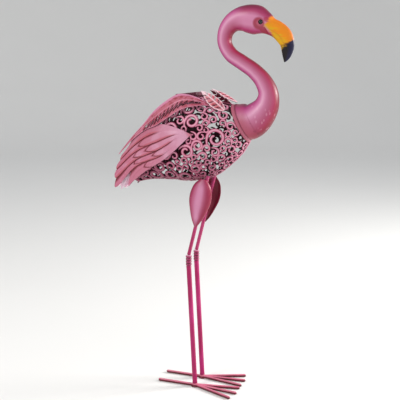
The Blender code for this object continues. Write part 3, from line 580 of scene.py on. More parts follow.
def scrollBand(place, scroll):
    # The band's line is a circle that winds in from part of its sweep on, r = rim (1 - wind t), by
    # the amounts for its kind, and before its start runs out as a stem. Gives the distance from the
    # band's edge (below zero inside it), and the crest (0 at the edge, 1 on the line).
    s, turn, radius, start, hand = scroll
    middle, across, up = skinFrame(s, turn)
    away = place - middle
    reach = np.linalg.norm(away, axis=-1)
    first = math.radians(start) - bird["tilt"]
    sweep = (hand * (np.arctan2(away @ up, away @ across) - first)) % math.tau
    share, more, least, most = scrollwork["width"]
    width = np.clip(share * radius + more, least, most)
    rim = radius - width / 2 + scrollwork["overlap"]
    curl = "curl" if radius < scrollwork["curlBelow"] else "spiral"
    total, windFrom, wind = scrollwork["ring" if radius < scrollwork["ringBelow"] else curl]
    lines = []
    for lap in (0, 1):
        along = sweep + lap * math.tau
        t = np.clip((along - math.radians(windFrom)) / math.radians(total - windFrom), 0, 1)
        lines.append((rim * (1 - wind * t), width * (1 - scrollwork["taper"] * wind * t),
                      along <= math.radians(total)))
    stemAngle, stemOut, stemWidth, stemTaper = scrollwork["stem"]
    out = np.clip((math.tau - sweep) / math.radians(stemAngle), 0, 1)
    lines.append((rim * (1 + stemOut * out ** 1.5), width * (stemWidth - stemTaper * out), out < 1))
    field = np.full(reach.shape, 99.0)
    crest = np.zeros(reach.shape)
    for line, band, here in lines:
        edge = np.where(here, np.abs(reach - line) - band / 2, 99)
        field = np.minimum(field, edge)
        crest = np.maximum(crest, np.where(edge < 0, -edge / (band / 2), 0))
    narrow, ballShare = scrollwork["ball"]
    endBall = width * (1 - narrow * wind) * ballShare
    for at, r, ball in (
            (0.0, rim, width / 2), (math.radians(total), rim * (1 - wind), endBall)):
        a = first + hand * at
        spot = middle + r * (math.cos(a) * across + math.sin(a) * up)
        edge = np.linalg.norm(place - spot, axis=-1) - ball
        field = np.minimum(field, edge)
        crest = np.maximum(crest, np.clip(-edge / ball, 0, 1))
    return field, crest


def spreadLabels(metal):
    # one number for each connected stretch of metal: the largest index in it, spread cell by cell
    label = np.where(metal, np.arange(metal.size).reshape(metal.shape) + 1, 0)
    while True:
        before = label.copy()
        for view in (label, label[::-1], label.T, label.T[::-1]):
            for row in range(1, len(view)):
                view[row] = np.where(view[row] > 0, np.maximum(view[row - 1], view[row]), 0)
        if (label == before).all():
            return label


def bodyGrid():
    # places on the skin's right half, and how far down the body they count as: rows that shrink
    # towards a point close the tail
    rows, endRows = scrollwork["rows"], scrollwork["endRows"]
    s = np.concatenate([np.linspace(0, bird["end"], rows), np.full(endRows, bird["end"])])
    shrink = np.concatenate([np.ones(rows), np.linspace(1, 0.04, endRows + 1)[1:]])[:, None]
    s, turn = np.meshgrid(s, np.linspace(0, math.pi, scrollwork["columns"]), indexing="ij")
    place = bodySkin(s, turn)
    tail = bodyPoint(bird["end"], scrollwork["endMiddle"], 0.0)
    closing = tail + (place - tail) * shrink[..., None]
    along = s + (1 - shrink) * scrollwork["endLength"]
    return np.where(shrink[..., None] < 1, closing, place), along


def scrollField(place, along, scrolls, holes):
    # distance from the metal's edge, below zero on metal, and the crest: solid edges, then each
    # scroll welded to what is there, then a collar round each hole
    ends, weld, collar = scrollwork["ends"], scrollwork["weld"], scrollwork["collar"] / 2
    field = np.minimum(along - ends, bird["end"] - ends - along)
    field = np.minimum(field, -place[..., 1] - scrollwork["seam"])
    crest = np.clip(-field / 2.4, 0, 1) * 0.5
    for scroll in scrolls:
        edge, height = scrollBand(place, scroll)
        blend = np.clip(0.5 + 0.5 * (edge - field) / weld, 0, 1)
        field = edge * (1 - blend) + field * blend - weld * blend * (1 - blend)
        crest = np.maximum(crest, height)
    for away, hole in holes:
        ring = np.abs(away - hole - collar) - collar
        field = np.maximum(np.minimum(field, ring), hole - away)
        crest = np.maximum(crest, np.clip(-ring / collar, 0, 1) * 0.8)
    return field, crest


def buildBody(material):
    lampPoint = bodySkin(lamp["s"], math.pi)
    rodPoint, rodAlong, rodEnd = rodAxisPoint()
    lampHole, rodHole = lamp["stubRadius"] + lamp["play"], legs["rodRadius"] + lamp["play"]
    scrolls = placeScrolls([(lampPoint, lampHole + scrollwork["clear"]),
                            (rodPoint, rodHole + scrollwork["clear"])])
    place, along = bodyGrid()
    rodAway = np.linalg.norm(np.cross(place - rodEnd, rodAlong), axis=-1)
    rodAway = np.where(place[..., 2] < bird["hip"][1], rodAway, 99)
    lampAway = np.linalg.norm(place - lampPoint, axis=-1)
    field, crest = scrollField(place, along, scrolls, [(lampAway, lampHole), (rodAway, rodHole)])
    # metal that isn't joined to the ring's edge is dropped
    label = spreadLabels(field < 0)
    field = np.where((field < 0) & (label != label[2, 2]), 1.0, field)
    normal = surfaceNormals(place)
    if normal[len(normal) // 2, scrollwork["columns"] // 2] @ (0, -1, 0) < 0:
        normal = -normal
    normal[:, [0, -1], 1] = 0
    normal /= np.linalg.norm(normal, axis=-1, keepdims=True)
    valley, top = scrollwork["valley"], scrollwork["crest"]
    relief = valley + (top - valley) * np.sqrt(1 - (1 - crest) ** 2)
    outer = place + relief[..., None] * normal
    inner = place - scrollwork["wall"] * normal
    for points in (outer, inner):
        points[..., 1] = np.minimum(points[..., 1], -0.03)
    mesh = cutSheet("bodyHalfRight", outer, inner, field, {
        "crest": crest, "along": along / bird["end"]})
    addPiece("bodyHalfRight", mesh, material, "body", "body_shell")
    addPiece("bodyHalfLeft", mirrorMesh("bodyHalfLeft", mesh), material, "body")
    print("body:", len(scrolls), "scrolls,", len(mesh.polygons), "faces a half")


def bodyPaint():
    # painted highlight: dusty pink crests; painted shade: wine red band sides, dark maroon inside
    paint = Paint("bodyPaint", coat=0.15)
    along = paint.attribute("along")
    # crest ramp: painted shade dark at the bands' edges, painted highlight pale on the crests
    paint.tone = paint.ramp(
        paint.attribute("crest") + 0.16 * paint.noise(70.0, 3.0) - 0.08,
        (0.0, (0.045, 0.002, 0.010)), (0.10, (0.17, 0.010, 0.042)), (0.27, (0.46, 0.085, 0.18)),
        (0.60, (0.57, 0.19, 0.29)), (1.0, (0.75, 0.38, 0.48)))
    # darker towards the tail end; then painted shade on the underside, below 0.47 to 0.57 m up
    paint.layer(paint.band(along, 0.42, 0.90) * 0.52, (0.20, 0.010, 0.055))
    paint.layer((1 - paint.band(paint.axis(2), 0.470, 0.570)) * 0.74, (0.19, 0.009, 0.050))
    paint.layer((1 - paint.band(along, 0.022, 0.034)) * 0.6, (0.34, 0.065, 0.095))
    # painted shade: dark maroon on the inner skin
    paint.layer(paint.attribute("inner"), (0.040, 0.003, 0.010))
    return paint.finish(paint.noise(800.0), 0.15, 0.0004, 0.36 + 0.2 * paint.noise(180.0))


buildBody(bodyPaint())
print("body built")


# Neck, head and beak

# centre x, z, half height across the line, half width
neckStations = [
    (124, 611, 38, 35), (141, 624, 33, 31), (155, 645, 26.5, 26),
    (158, 668, 21.5, 21.5), (148, 692, 18.5, 18.5), (128, 714, 16.5, 16.5),
    (100, 733, 15.8, 15.8), (74, 751, 15.4, 15.4), (61, 775, 15.2, 15.2),
    (64, 798, 17.0, 16.2), (78, 815, 20.5, 18.5), (98, 822.5, 25.5, 21.5),
    (117, 822, 29.5, 23.5), (134, 818.5, 29.5, 22.5), (148, 813, 23.5, 18.0),
    (160, 806.5, 18.2, 13.0), (175, 799, 17.6, 11.0), (188, 787, 17.8, 9.5),
    (196, 771, 15.2, 8.0), (196.5, 754, 11.6, 6.0), (194, 741, 6.5, 3.5),
    (191.6, 734, 1.6, 1.2),
]
neck = {
    "perStation": 9, "sides": 64,
    "start": (40, 36), "flare": 1.5,       # half height and width of the body's ring, and its flare
    "straight": 15,                        # rings that turn from the body line to the neck's own
    "hollowUntil": 13,                     # station where the throat's hollow ends
    "bead": (0.7, 2.2), "dip": (0.5, 6.0, 2.0),   # at the rim: height, width; depth, place, width
    "mouthGroove": 0.9, "mouthAngles": (112, 248), "mouthWidth": 0.13,
    "beakFrom": (140, 152), "beakAbove": 720,     # x where the mouth starts, z where it ends
    "eye": (144.0, 814.4), "eyeRadius": 4.9, "eyeDepth": 2.8, "lid": 1.1, "eyeSides": 36,
}


def neckRings():
    # rings of an ellipse square to a line through the stations: centre + half height cos(a) across
    # the line + half width sin(a) sideways
    first = (*bird["ring"], *(size + neck["flare"] for size in neck["start"]))
    table = np.array([first, *neckStations], float)
    line = resample(table, 1 + neck["perStation"] * (len(table) - 1))
    heading = np.gradient(line[:, :2], axis=0)
    heading /= np.linalg.norm(heading, axis=1)[:, None]
    start = np.array([math.cos(bird["tilt"]), math.sin(bird["tilt"])])
    share = np.clip(1 - np.arange(len(line)) / neck["straight"], 0, 1)[:, None]
    heading = share * start + (1 - share) * heading
    heading /= np.linalg.norm(heading, axis=1)[:, None]
    along = np.concatenate([[0], np.cumsum(np.linalg.norm(np.diff(line[:, :2], axis=0), axis=1))])
    line[0, :2] += bird["gap"] * start
    return line, heading, along


def ringPoints(line, heading, inset):
    angle = circle(neck["sides"])
    up = (line[:, 2:3] - inset) * np.cos(angle)
    side = (line[:, 3:4] - inset) * np.sin(angle)
    x, z = line[:, :1] - heading[:, 1:] * up, line[:, 1:2] + heading[:, :1] * up
    return np.stack([x, side, z], axis=-1)


def buildNeck(material):
    line, heading, along = neckRings()
    angle = circle(neck["sides"])
    (bead, width), (dip, at, dipWidth) = neck["bead"], neck["dip"]
    bead = bead * hump(along, width) - dip * hump(along - at, dipWidth)
    # the mouth line runs along each side of the beak, a little below its middle
    fromTip = (along[-1] - along) / along[-1]
    beakShare = smoothStep(*neck["beakFrom"], line[:, 0]) * smoothStep(0, 0.05, fromTip)
    beakShare = beakShare * (line[:, 1] > neck["beakAbove"])
    low, high = np.radians(neck["mouthAngles"])
    aside = np.minimum(np.abs(angle - low), np.abs(angle - high))
    groove = beakShare[:, None] * hump(aside, neck["mouthWidth"]) * neck["mouthGroove"]
    outer = ringPoints(line, heading, -bead[:, None] + groove * (line[:, 2:3] > 6))
    # the inside of the throat goes back from the hollow's end to the body
    until = neck["hollowUntil"] * neck["perStation"] + 1
    inner = ringPoints(line[:until], heading[:until], bird["sheet"])
    rings = np.concatenate([outer[::-1], inner])
    tip = outer[-1].mean(axis=0) + (heading[-1, 0], 0, heading[-1, 1])
    points = np.vstack([rings.reshape(-1, 3), tip, inner[-1].mean(axis=0)])
    ones = np.ones(neck["sides"])
    grids = {
        "across": np.tile(np.cos(angle), (len(rings), 1)),
        "run": np.concatenate([along[::-1], along[:until]])[:, None] * ones / 1000,
        "inner": np.repeat([0.0, 1.0], (len(outer), until))[:, None] * ones,
        "mouth": np.concatenate([groove[::-1], np.zeros(inner.shape[:2])]) / neck["mouthGroove"]}
    ends = {"across": (0, 0), "run": (along[-1] / 1000, 0), "inner": (0, 1), "mouth": (0, 0)}
    mesh = makeMesh("neckAndHead", points, tubeFaces(len(rings), neck["sides"]), {
        key: np.append(grid.ravel(), ends[key]) for key, grid in grids.items()})
    addPiece("neckAndHead", mesh, material, "neck", "neck_and_head")


def neckHighlightBands(paint, across, x, z):
    # Lilac pink down the middle of the side is a painted highlight, rose lies behind it, and the
    # crimson along both edges is airbrushed paint with painted shade. The head has a crimson crown.
    onNeck = paint.ramp(
        across, (0.0, (0.13, 0.001, 0.012)), (0.08, (0.25, 0.003, 0.032)),
        (0.18, (0.36, 0.038, 0.105)), (0.34, (0.41, 0.100, 0.190)), (0.49, (0.49, 0.160, 0.280)),
        (0.64, (0.61, 0.280, 0.420)), (0.78, (0.51, 0.130, 0.295)), (0.91, (0.39, 0.028, 0.165)),
        (1.0, (0.12, 0.001, 0.030)))
    onHead = paint.ramp(
        across, (0.0, (0.28, 0.004, 0.055)), (0.12, (0.42, 0.045, 0.16)),
        (0.30, (0.54, 0.195, 0.335)), (0.60, (0.54, 0.195, 0.335)), (0.76, (0.37, 0.044, 0.13)),
        (0.90, (0.20, 0.004, 0.045)), (1.0, (0.13, 0.002, 0.022)))
    headShare = paint.band(z, 0.782, 0.800) * paint.band(x, 0.070, 0.105)
    return paint.mix(headShare, onNeck, onHead)


def chestMarks(paint, across, x, soft):
    # a plain brownish zone behind the rim, with dark spots, a line and a lip; then pale scallops,
    # whose height is given back
    run = paint.attribute("run")
    zone = 1 - paint.band(run + 0.014 * soft, 0.014, 0.038)
    zone = zone * (1 - 0.45 * paint.band(across, 0.62, 0.95))
    zone = zone * (0.65 + 0.5 * paint.noise(45.0, 3.0))
    paint.layer(zone * 0.75, (0.36, 0.070, 0.105))
    spots = paint.band(paint.noise(62.0), 0.60, 0.68) * zone
    paint.layer(spots * (1 - paint.band(across, 0.45, 0.70)) * 0.9, (0.060, 0.002, 0.012))
    line = 1 - paint.band(abs(run - 0.0245 + 0.004 * soft), 0.0004, 0.0020)
    paint.layer(line * 0.25 * (1 - paint.band(across, 0.55, 0.85)), (0.20, 0.010, 0.045))
    paint.layer((1 - paint.band(run, 0.0010, 0.0032)) * 0.7, (0.14, 0.008, 0.028))
    chest = paint.band(run, 0.024, 0.034) * (1 - paint.band(run, 0.050, 0.078))
    flecks = 1 - paint.band(paint.cells(135.0, 0.75, (1.0, 1.0, 0.55)), 0.16, 0.34)
    flecks = flecks * chest * paint.band(x, 0.100, 0.130)
    paint.layer(flecks * 0.32, (0.72, 0.37, 0.50))
    return flecks


# Slanting ellipses on the head, in metres: centre x and z, half width, half height and slant, then
# the squared distance where each fades from full to nothing. The first two make the patch.
headPatch = ((0.1325, 0.8115, 0.0130, 0.0140, 0.0, 0.45, 1.10),
             (0.1405, 0.7985, 0.0085, 0.0140, 0.62, 0.40, 1.15))
headMarks = ((0.7, (0.22, 0.002, 0.020), (0.1465, 0.7980, 0.0016, 0.0100, 0.50, 0.3, 1.2)),
             (0.6, (0.50, 0.120, 0.185), (0.1350, 0.8125, 0.0085, 0.0085, 0.0, 0.1, 1.0)),
             (0.7, (0.34, 0.008, 0.035), (0.1490, 0.8190, 0.0075, 0.0060, 0.30, 0.3, 1.2)))


def eyePatch(paint, x, z):
    # red-brown round the eye and from it down to the throat, paler before the eye
    def oval(centreX, centreZ, halfWidth, halfHeight, slant, inside, outside):
        high = z - centreZ
        wide = (x - centreX + slant * high) / halfWidth
        high = high / halfHeight
        return 1 - paint.band(wide * wide + high * high, inside, outside)

    patch, streak = (oval(*shape) for shape in headPatch)
    paint.layer(patch.math("MAXIMUM", streak) * 0.88, (0.29, 0.018, 0.040))
    for share, colour, shape in headMarks:
        paint.layer(oval(*shape) * share, colour)


def beakColours(paint, across, x, z):
    # orange with yellow streaks behind a bent line, and a blue-black tip
    streaks = paint.noise(150.0, 3.0, 0.6, (0.25, 1.0, 1.6))
    height = z - 0.8100
    above = paint.band(z, 0.715, 0.722)
    edge = x - 0.1440 - 0.05 * height - 0.68 * abs(height) + 0.020 * streaks - 0.010
    beak = paint.band(edge, -0.0040, 0.0050) * above * paint.band(x, 0.138, 0.142)
    yellow = paint.band(across, 0.80, 0.30) * paint.band(streaks, 0.40, 0.56)
    yellow = yellow + paint.band(across, 0.42, 0.10) * 0.35
    orange = paint.mix(yellow, (0.72, 0.215, 0.0), (0.62, 0.34, 0.0))
    orange = paint.mix(paint.band(across, 0.84, 1.0) * 0.6, orange, (0.52, 0.10, 0.003))
    orange = paint.mix(paint.attribute("mouth") * 0.3, orange, (0.36, 0.12, 0.002))
    paint.layer(beak, orange)
    tipEdge = z - 0.7630 - 0.60 * (x - 0.176) + 0.036 * streaks - 0.018
    tip = (1 - paint.band(tipEdge, -0.0050, 0.0045)) * paint.band(x, 0.160, 0.165) * above
    black, blue = (0.006, 0.003, 0.004), (0.006, 0.004, 0.035)
    paint.layer(tip, paint.mix(paint.band(across, 0.45, 0.80), black, blue))


def neckPaint():
    paint = Paint("neckPaint", coat=0.12, shine=0.3)
    soft = paint.noise(16.0, 3.0, 0.55)
    across = paint.attribute("across") * 0.5 + 0.5 + 0.10 * soft - 0.05
    x, z = paint.axis(0), paint.axis(2)
    # painted highlight and painted shade across the neck
    paint.tone = neckHighlightBands(paint, across, x, z)
    flecks = chestMarks(paint, across, x, soft)
    eyePatch(paint, x, z)
    beakColours(paint, across, x, z)
    paint.layer(paint.attribute("inner"), (0.05, 0.003, 0.012))
    return paint.finish(paint.noise(700.0) * 0.5 + flecks * 1.5, 0.16, 0.0006,
                        0.40 + 0.14 * paint.noise(120.0))


def headSide(x, z):
    # the head's half width at a place on its side: w(x) sqrt(1 - rise squared)
    rows = np.array(neckStations[11:16], float)
    centre, halfHeight, halfWidth = (float(hermite(x, rows, c)) for c in (1, 2, 3))
    return halfWidth * math.sqrt(1 - ((z - centre) / halfHeight) ** 2)


def buildEyes(material):
    # a dome of revolution, radius sin(a), height cos(a), in a rounded lid ring
    x, z = neck["eye"]
    surface, step = headSide(x, z), 0.1
    direction = (-(headSide(x + step, z) - surface) / step, -1,
                 -(headSide(x, z + step) - surface) / step)
    radius, depth, lid, sides = (neck[key] for key in ("eyeRadius", "eyeDepth", "lid", "eyeSides"))
    sunk = 0.25
    arc, ring = quarter(9), np.linspace(math.pi, 0, 9)[1:]
    dome = np.column_stack([(radius - lid) * np.sin(arc), sunk + (depth - sunk) * np.cos(arc)])
    rim = np.column_stack([radius - lid / 2 * (1 - np.cos(ring)), 0.15 + lid * 0.55 * np.sin(ring)])
    profile = np.vstack([dome, rim, [(radius, -0.6), (0, -0.6)]])
    points, faces = turned(profile, (x, -surface - sunk, z), direction, sides)
    out = np.append(np.repeat(profile[1:-1, 0] / radius, sides), (0, 1))
    addPair("eye", makeMesh("eyeRight", points, faces, {"out": out}), material, "eye", "eye")


def eyePaint():
    # glossy black bead with a thin dark green ring round the pupil, in a dark lid
    paint = Paint("eyePaint", roughness=0.10, coat=0.35, coatRoughness=0.05, shine=0.4)
    out = paint.attribute("out")
    paint.tone = (0.001, 0.001, 0.001)
    iris = paint.band(out, 0.30, 0.42) * (1 - paint.band(out, 0.50, 0.62))
    paint.layer(iris * 0.55, (0.012, 0.045, 0.028))
    paint.layer(paint.band(out, 0.80, 0.88), (0.045, 0.004, 0.010))
    return paint.finish(paint.noise(600.0, 1.0), 0.03, 0.0002)


buildNeck(neckPaint())
buildEyes(eyePaint())
print("neck and head built")


# Wings

# half distance of the wing from the middle plane, the same at its top edge, top edge n, along s
wingStations = np.array([
    (40, 57, 25, 66), (70, 67.5, 31, 100), (110, 74.0, 33, 113), (160, 70.0, 33, 105),
    (210, 57.0, 28, 88), (260, 41.5, 21, 70), (300, 30.0, 16, 54), (345, 23.0, 12, 30)], float)
wing = {
    "root": (96, 20), "columns": 210, "perFeather": 16,
    "fall": 0.30, "dip": 3.4, "dipWidth": 16,   # how far the lower edge and the root come inwards
    "step": 2.2, "starts": (0.40, 0.28, 0.24, 0.38), "stepRun": 0.14,   # steps between feathers
    # share of the length where short upper feathers end over each long one, their lift and point
    "ledges": ((0.72,), (0.57, 0.79), (0.61, 0.74), (0.67,), ()), "ledge": 1.3, "point": 0.085,
    "free": 0.84,                              # share of the length where the feathers part
    "middle": [(176, -2), (180, 8), (178, 22), (179, 39), (182, 59), (180, 79)],
    "bend": [(240, -7), (238, 13), (253, 25), (248, 41), (240, 56), (236, 74)],
    "end": [(291, -15), (271, 12), (322, 9), (310, 27), (291, 42), (262, 59)],
    "tips": [(301, -17), (331, -9), (321, 18), (305, 35), (284, 50)],
}


def wingPlace(s, n, lift):
    # the right wing's surface, lifted outwards: its distance from the middle plane falls off in
    # powers of the height above and below the wing's middle, and round its root
    reach, top, topN = (hermite(s, wingStations, column) for column in (1, 2, 3))
    belly = hermite(np.minimum(s, bird["end"]), bodyStations, 2)
    middle = (topN + belly) / 2 + 6
    over = np.maximum((n - middle) / (topN - middle), 0)
    under = np.maximum((middle - n) / (middle - belly + 20), 0)
    half = reach - (reach - top) * over**2 - wing["fall"] * reach * under**2.2
    fromRoot = np.hypot(s - wing["root"][0], n - wing["root"][1])
    return bodyPoint(s, n, -(half - wing["dip"] * hump(fromRoot, wing["dipWidth"]) + lift))


def featherEdges(count):
    # the feathers' edge curves, which fan out from the root
    edges = []
    x, y = wing["root"]
    for k, points in enumerate(zip(wing["middle"], wing["bend"], wing["end"])):
        edge = resample([(x, y), (x + 16, y + 5 * (k - 1.2)), *points], count)
        edge[0] = (x, y + 1.2 * (k - 2.5))
        edges.append(edge)
    return edges


def buildWings(material):
    # Each feather is a strip between two edge curves: place = low (1 - v) + high v, its end drawn
    # out to a point by a half sine. Its low edge stands a step over the strip below it.
    count, per = wing["columns"], wing["perFeather"]
    share = np.linspace(0, 1, count)
    edges = featherEdges(count)
    none = np.zeros(count)
    steps = [none, *(smoothStep(at, at + wing["stepRun"], share) for at in wing["starts"]), none]
    freeShare = (share - wing["free"]) / (1 - wing["free"])
    flat, lifts = [], []
    values = {"under": [], "lowEdge": [], "quill": [], "feather": []}
    for k, tip in enumerate(wing["tips"]):
        low, high = edges[k], edges[k + 1]
        v = np.linspace(0.03 if k else 0, 1, per)[:, None]
        strip = low * (1 - v[..., None]) + high * v[..., None]
        pull = np.clip(freeShare, 0, 1) ** 1.6 * np.sin(math.pi * v) ** 0.9
        flat.append(strip + pull[..., None] * (np.asarray(tip) - (low[-1] + high[-1]) / 2))
        own, above = steps[k], steps[k + 1]
        quill = hump(v - 0.5, 0.05) * smoothStep(0.45, 0.75, share)
        bulge = 0.6 * np.sin(math.pi * v) * np.maximum(own, above)
        raised = shade = np.zeros((per, count))
        for at in wing["ledges"][k]:
            past = share - at + wing["point"] * np.abs(2 * v - 1) ** 1.5
            raised = raised + smoothStep(-0.15, -0.012, past) * smoothStep(0.005, -0.005, past)
            shade = shade + hump(past, 0.032) * (past > 0)
        lifts.append(wing["step"] * own * (1 - v) ** 1.3 + 0.4 * quill + bulge
                     + wing["ledge"] * raised - 0.5)
        # under: painted shadow beneath the next feather up and past each short feather's end
        values["under"].append(np.maximum(hump(1 - v, 0.22) * above, shade))
        values["lowEdge"].append(hump(v, 0.24) * own)
        values["quill"].append(quill)
        values["feather"].append(np.full((per, count), k / 4))
    (s, n), lift = np.moveaxis(np.concatenate(flat), -1, 0), np.concatenate(lifts)
    inside = np.minimum(lift - 1.2, -0.4) - 0.6
    mesh = sheetMesh("lowerWingRight", wingPlace(s, n, lift), wingPlace(s, n, inside), {
        "run": share, **{key: np.concatenate(parts) for key, parts in values.items()}})
    addPair("lowerWing", mesh, material, "wing", "wing")
    print("wing:", len(mesh.polygons), "faces")


def wingPaint():
    # dusty lilac pink, painted shadow where one feather passes under the next, red-brown low edges
    paint = Paint("wingPaint", coat=0.12)
    run, rough = paint.attribute("run"), paint.noise(60.0, 4.0, 0.6)
    paint.tone = (0.56, 0.245, 0.355)
    paint.layer(paint.band(run + 0.30 * rough, 0.30, 0.95), (0.50, 0.150, 0.230))
    paint.layer(paint.band(paint.noise(30.0), 0.44, 0.66) * 0.6, (0.62, 0.320, 0.440))
    paint.layer((1 - paint.band(run, 0.03, 0.20)) * 0.7, (0.46, 0.085, 0.125))
    upper = paint.band(paint.attribute("feather"), 0.55, 0.95) * paint.band(run, 0.25, 0.5)
    paint.layer(upper * 0.35, (0.33, 0.045, 0.075))
    # darker red-brown along each feather's lower edge
    lowEdge = paint.attribute("lowEdge") + 0.5 * rough - 0.25
    paint.layer(paint.band(lowEdge, 0.10, 0.80) * 0.75, (0.44, 0.075, 0.105))
    # painted shadow under each overlapping feather
    under = paint.attribute("under") + 0.4 * rough - 0.2
    paint.layer(paint.band(under, 0.22, 0.90), (0.17, 0.010, 0.024))
    paint.layer(paint.attribute("quill") * 0.3, (0.34, 0.060, 0.115))
    paint.layer(paint.attribute("inner"), (0.075, 0.006, 0.018))
    return paint.finish(paint.noise(300.0, 3.0) + 0.5 * paint.noise(900.0), 0.14, 0.0006,
                        0.38 + 0.16 * rough)


cover = {
    # middle line n and half width, along s
    "stations": np.array([
        (42, 62, 2), (66, 82, 11), (92, 94, 17), (128, 93, 18.5), (164, 88, 16.5), (200, 82.5, 8),
        (246, 72, 4), (293, 56, 1)], float),
    "lift": 3.7, "rows": 380, "columns": 44,
    "slits": 13, "slitFrom": 58.0, "slitPitch": 11.0, "slitRadius": 1.15, "slitLong": 12.0,
    "slitLines": ((-0.46, 1.0), (-0.16, 0.7)),   # height as a share of the half width, and size
    "slitEnds": (-0.17, 0.13), "barbEnds": (0.22, 0.70),   # height of their ends, as such shares
    "leastHalf": 7,                              # half width below which there are no slits
    "barbs": (0.0, 3.7, 7.4), "barbLong": 10, "barbWidth": 0.9,
}


def slitDistance(x, y, ax, ay, bx, by):
    # distance from each place to the line between two points
    ux, uy = bx - ax, by - ay
    t = np.clip(((x - ax) * ux + (y - ay) * uy) / (ux * ux + uy * uy), 0, 1)
    return np.hypot(x - ax - t * ux, y - ay - t * uy)


def buildCovers(material):
    # A long leaf of half width w(s). Slanted slits are cut below its rib and pressed barbs stand
    # above it, both as round-ended lines at even steps.
    table = cover["stations"]
    s = np.linspace(table[0, 0] + 0.5, table[-1, 0] - 0.5, cover["rows"])
    half = hermite(s, table, 2)[:, None]
    s, v = np.meshgrid(s, np.linspace(-1, 1, cover["columns"]), indexing="ij")
    y = half * v
    n = hermite(s, table, 1) + y
    field, barb = np.full(s.shape, -9.0), np.zeros(s.shape)
    for at in cover["slitFrom"] + np.arange(cover["slits"]) * cover["slitPitch"]:
        room = float(hermite(at, table, 2))
        for height, size in cover["slitLines"] if room > cover["leastHalf"] else ():
            start = at + 4.0 * (size - 1)
            low, high = (room * (height + end) for end in cover["slitEnds"])
            slit = slitDistance(s, y, start + cover["slitLong"] * size, low, start, high)
            field = np.maximum(field, cover["slitRadius"] * size - slit)
        for shift in cover["barbs"]:
            start = at + shift
            low, high = (room * end for end in cover["barbEnds"])
            line = slitDistance(s, y, start + cover["barbLong"], low, start, high)
            barb = np.maximum(barb, hump(line, cover["barbWidth"]))
    rib = hump(y - 0.15 * half, 1.0) * (half > 5)
    edge = hump(half - np.abs(y), 1.3)
    lift = cover["lift"] + 0.5 * rib + 0.35 * edge + 0.5 * barb - 0.6
    outer, inner = wingPlace(s, n, lift), wingPlace(s, n, cover["lift"] - bird["sheet"])
    mesh = cutSheet("upperWingRight", outer, inner, field, {
        "barb": barb, "edge": np.maximum(edge, rib), "slit": hump(np.clip(-field, 0, 9), 0.9),
        "upper": (v + 1) / 2})
    addPair("upperWing", mesh, material, "cover", "wing_cover")
    print("upper wing:", len(mesh.polygons), "faces")


def coverPaint():
    # a pale pink border along the top, red-brown barbs below it, dark slits and a pale lower edge
    paint = Paint("coverPaint", coat=0.12)
    rough, upper = paint.noise(90.0, 4.0, 0.65), paint.attribute("upper")
    paint.tone = (0.36, 0.045, 0.080)
    paint.layer(paint.band(rough, 0.40, 0.62), (0.50, 0.13, 0.205))
    wash = paint.band(upper, 0.55, 0.60) * (1 - paint.band(upper + 0.10 * rough, 0.82, 0.95))
    paint.layer(wash * 0.7, (0.26, 0.020, 0.035))
    barbs = paint.attribute("barb") * wash * paint.band(rough, 0.35, 0.55)
    paint.layer(barbs * 0.9, (0.56, 0.16, 0.23))
    paint.layer(paint.attribute("slit") * 0.75, (0.085, 0.003, 0.012))
    paint.layer(paint.band(upper + 0.10 * rough, 0.86, 0.97) * 0.85, (0.60, 0.215, 0.36))
    paint.layer(paint.attribute("edge") * 0.7, (0.64, 0.26, 0.37))
    paint.layer(paint.attribute("inner"), (0.06, 0.004, 0.012))
    return paint.finish(paint.noise(500.0, 3.0), 0.18, 0.0006, 0.38 + 0.16 * rough)


buildWings(wingPaint())
buildCovers(coverPaint())
print("wings built")


# Feathers on the back, and the tail

leaf = {
    "halfWidth": 12.5, "bow": 4.0, "droop": 5.0, "rows": 110, "columns": 46,
    "slits": 5, "slitRadius": 1.0, "slitFrom": 0.14, "slitSpan": 0.62, "leastHalf": 5,
    # root and tip
    "side": ((73, -36, 634), (19, -32, 674)), "top": ((90, 0, 650.5), (33, 0, 677)),
    # a slit's start and a barb's along the rib, how far each leans, and where they start and end as
    # shares of the half width
    "slitAt": (0, 5.0), "barbAt": (-3.2, 5.2), "nearRib": 0.24, "slitEnd": 0.84, "barbEnd": 0.86,
}


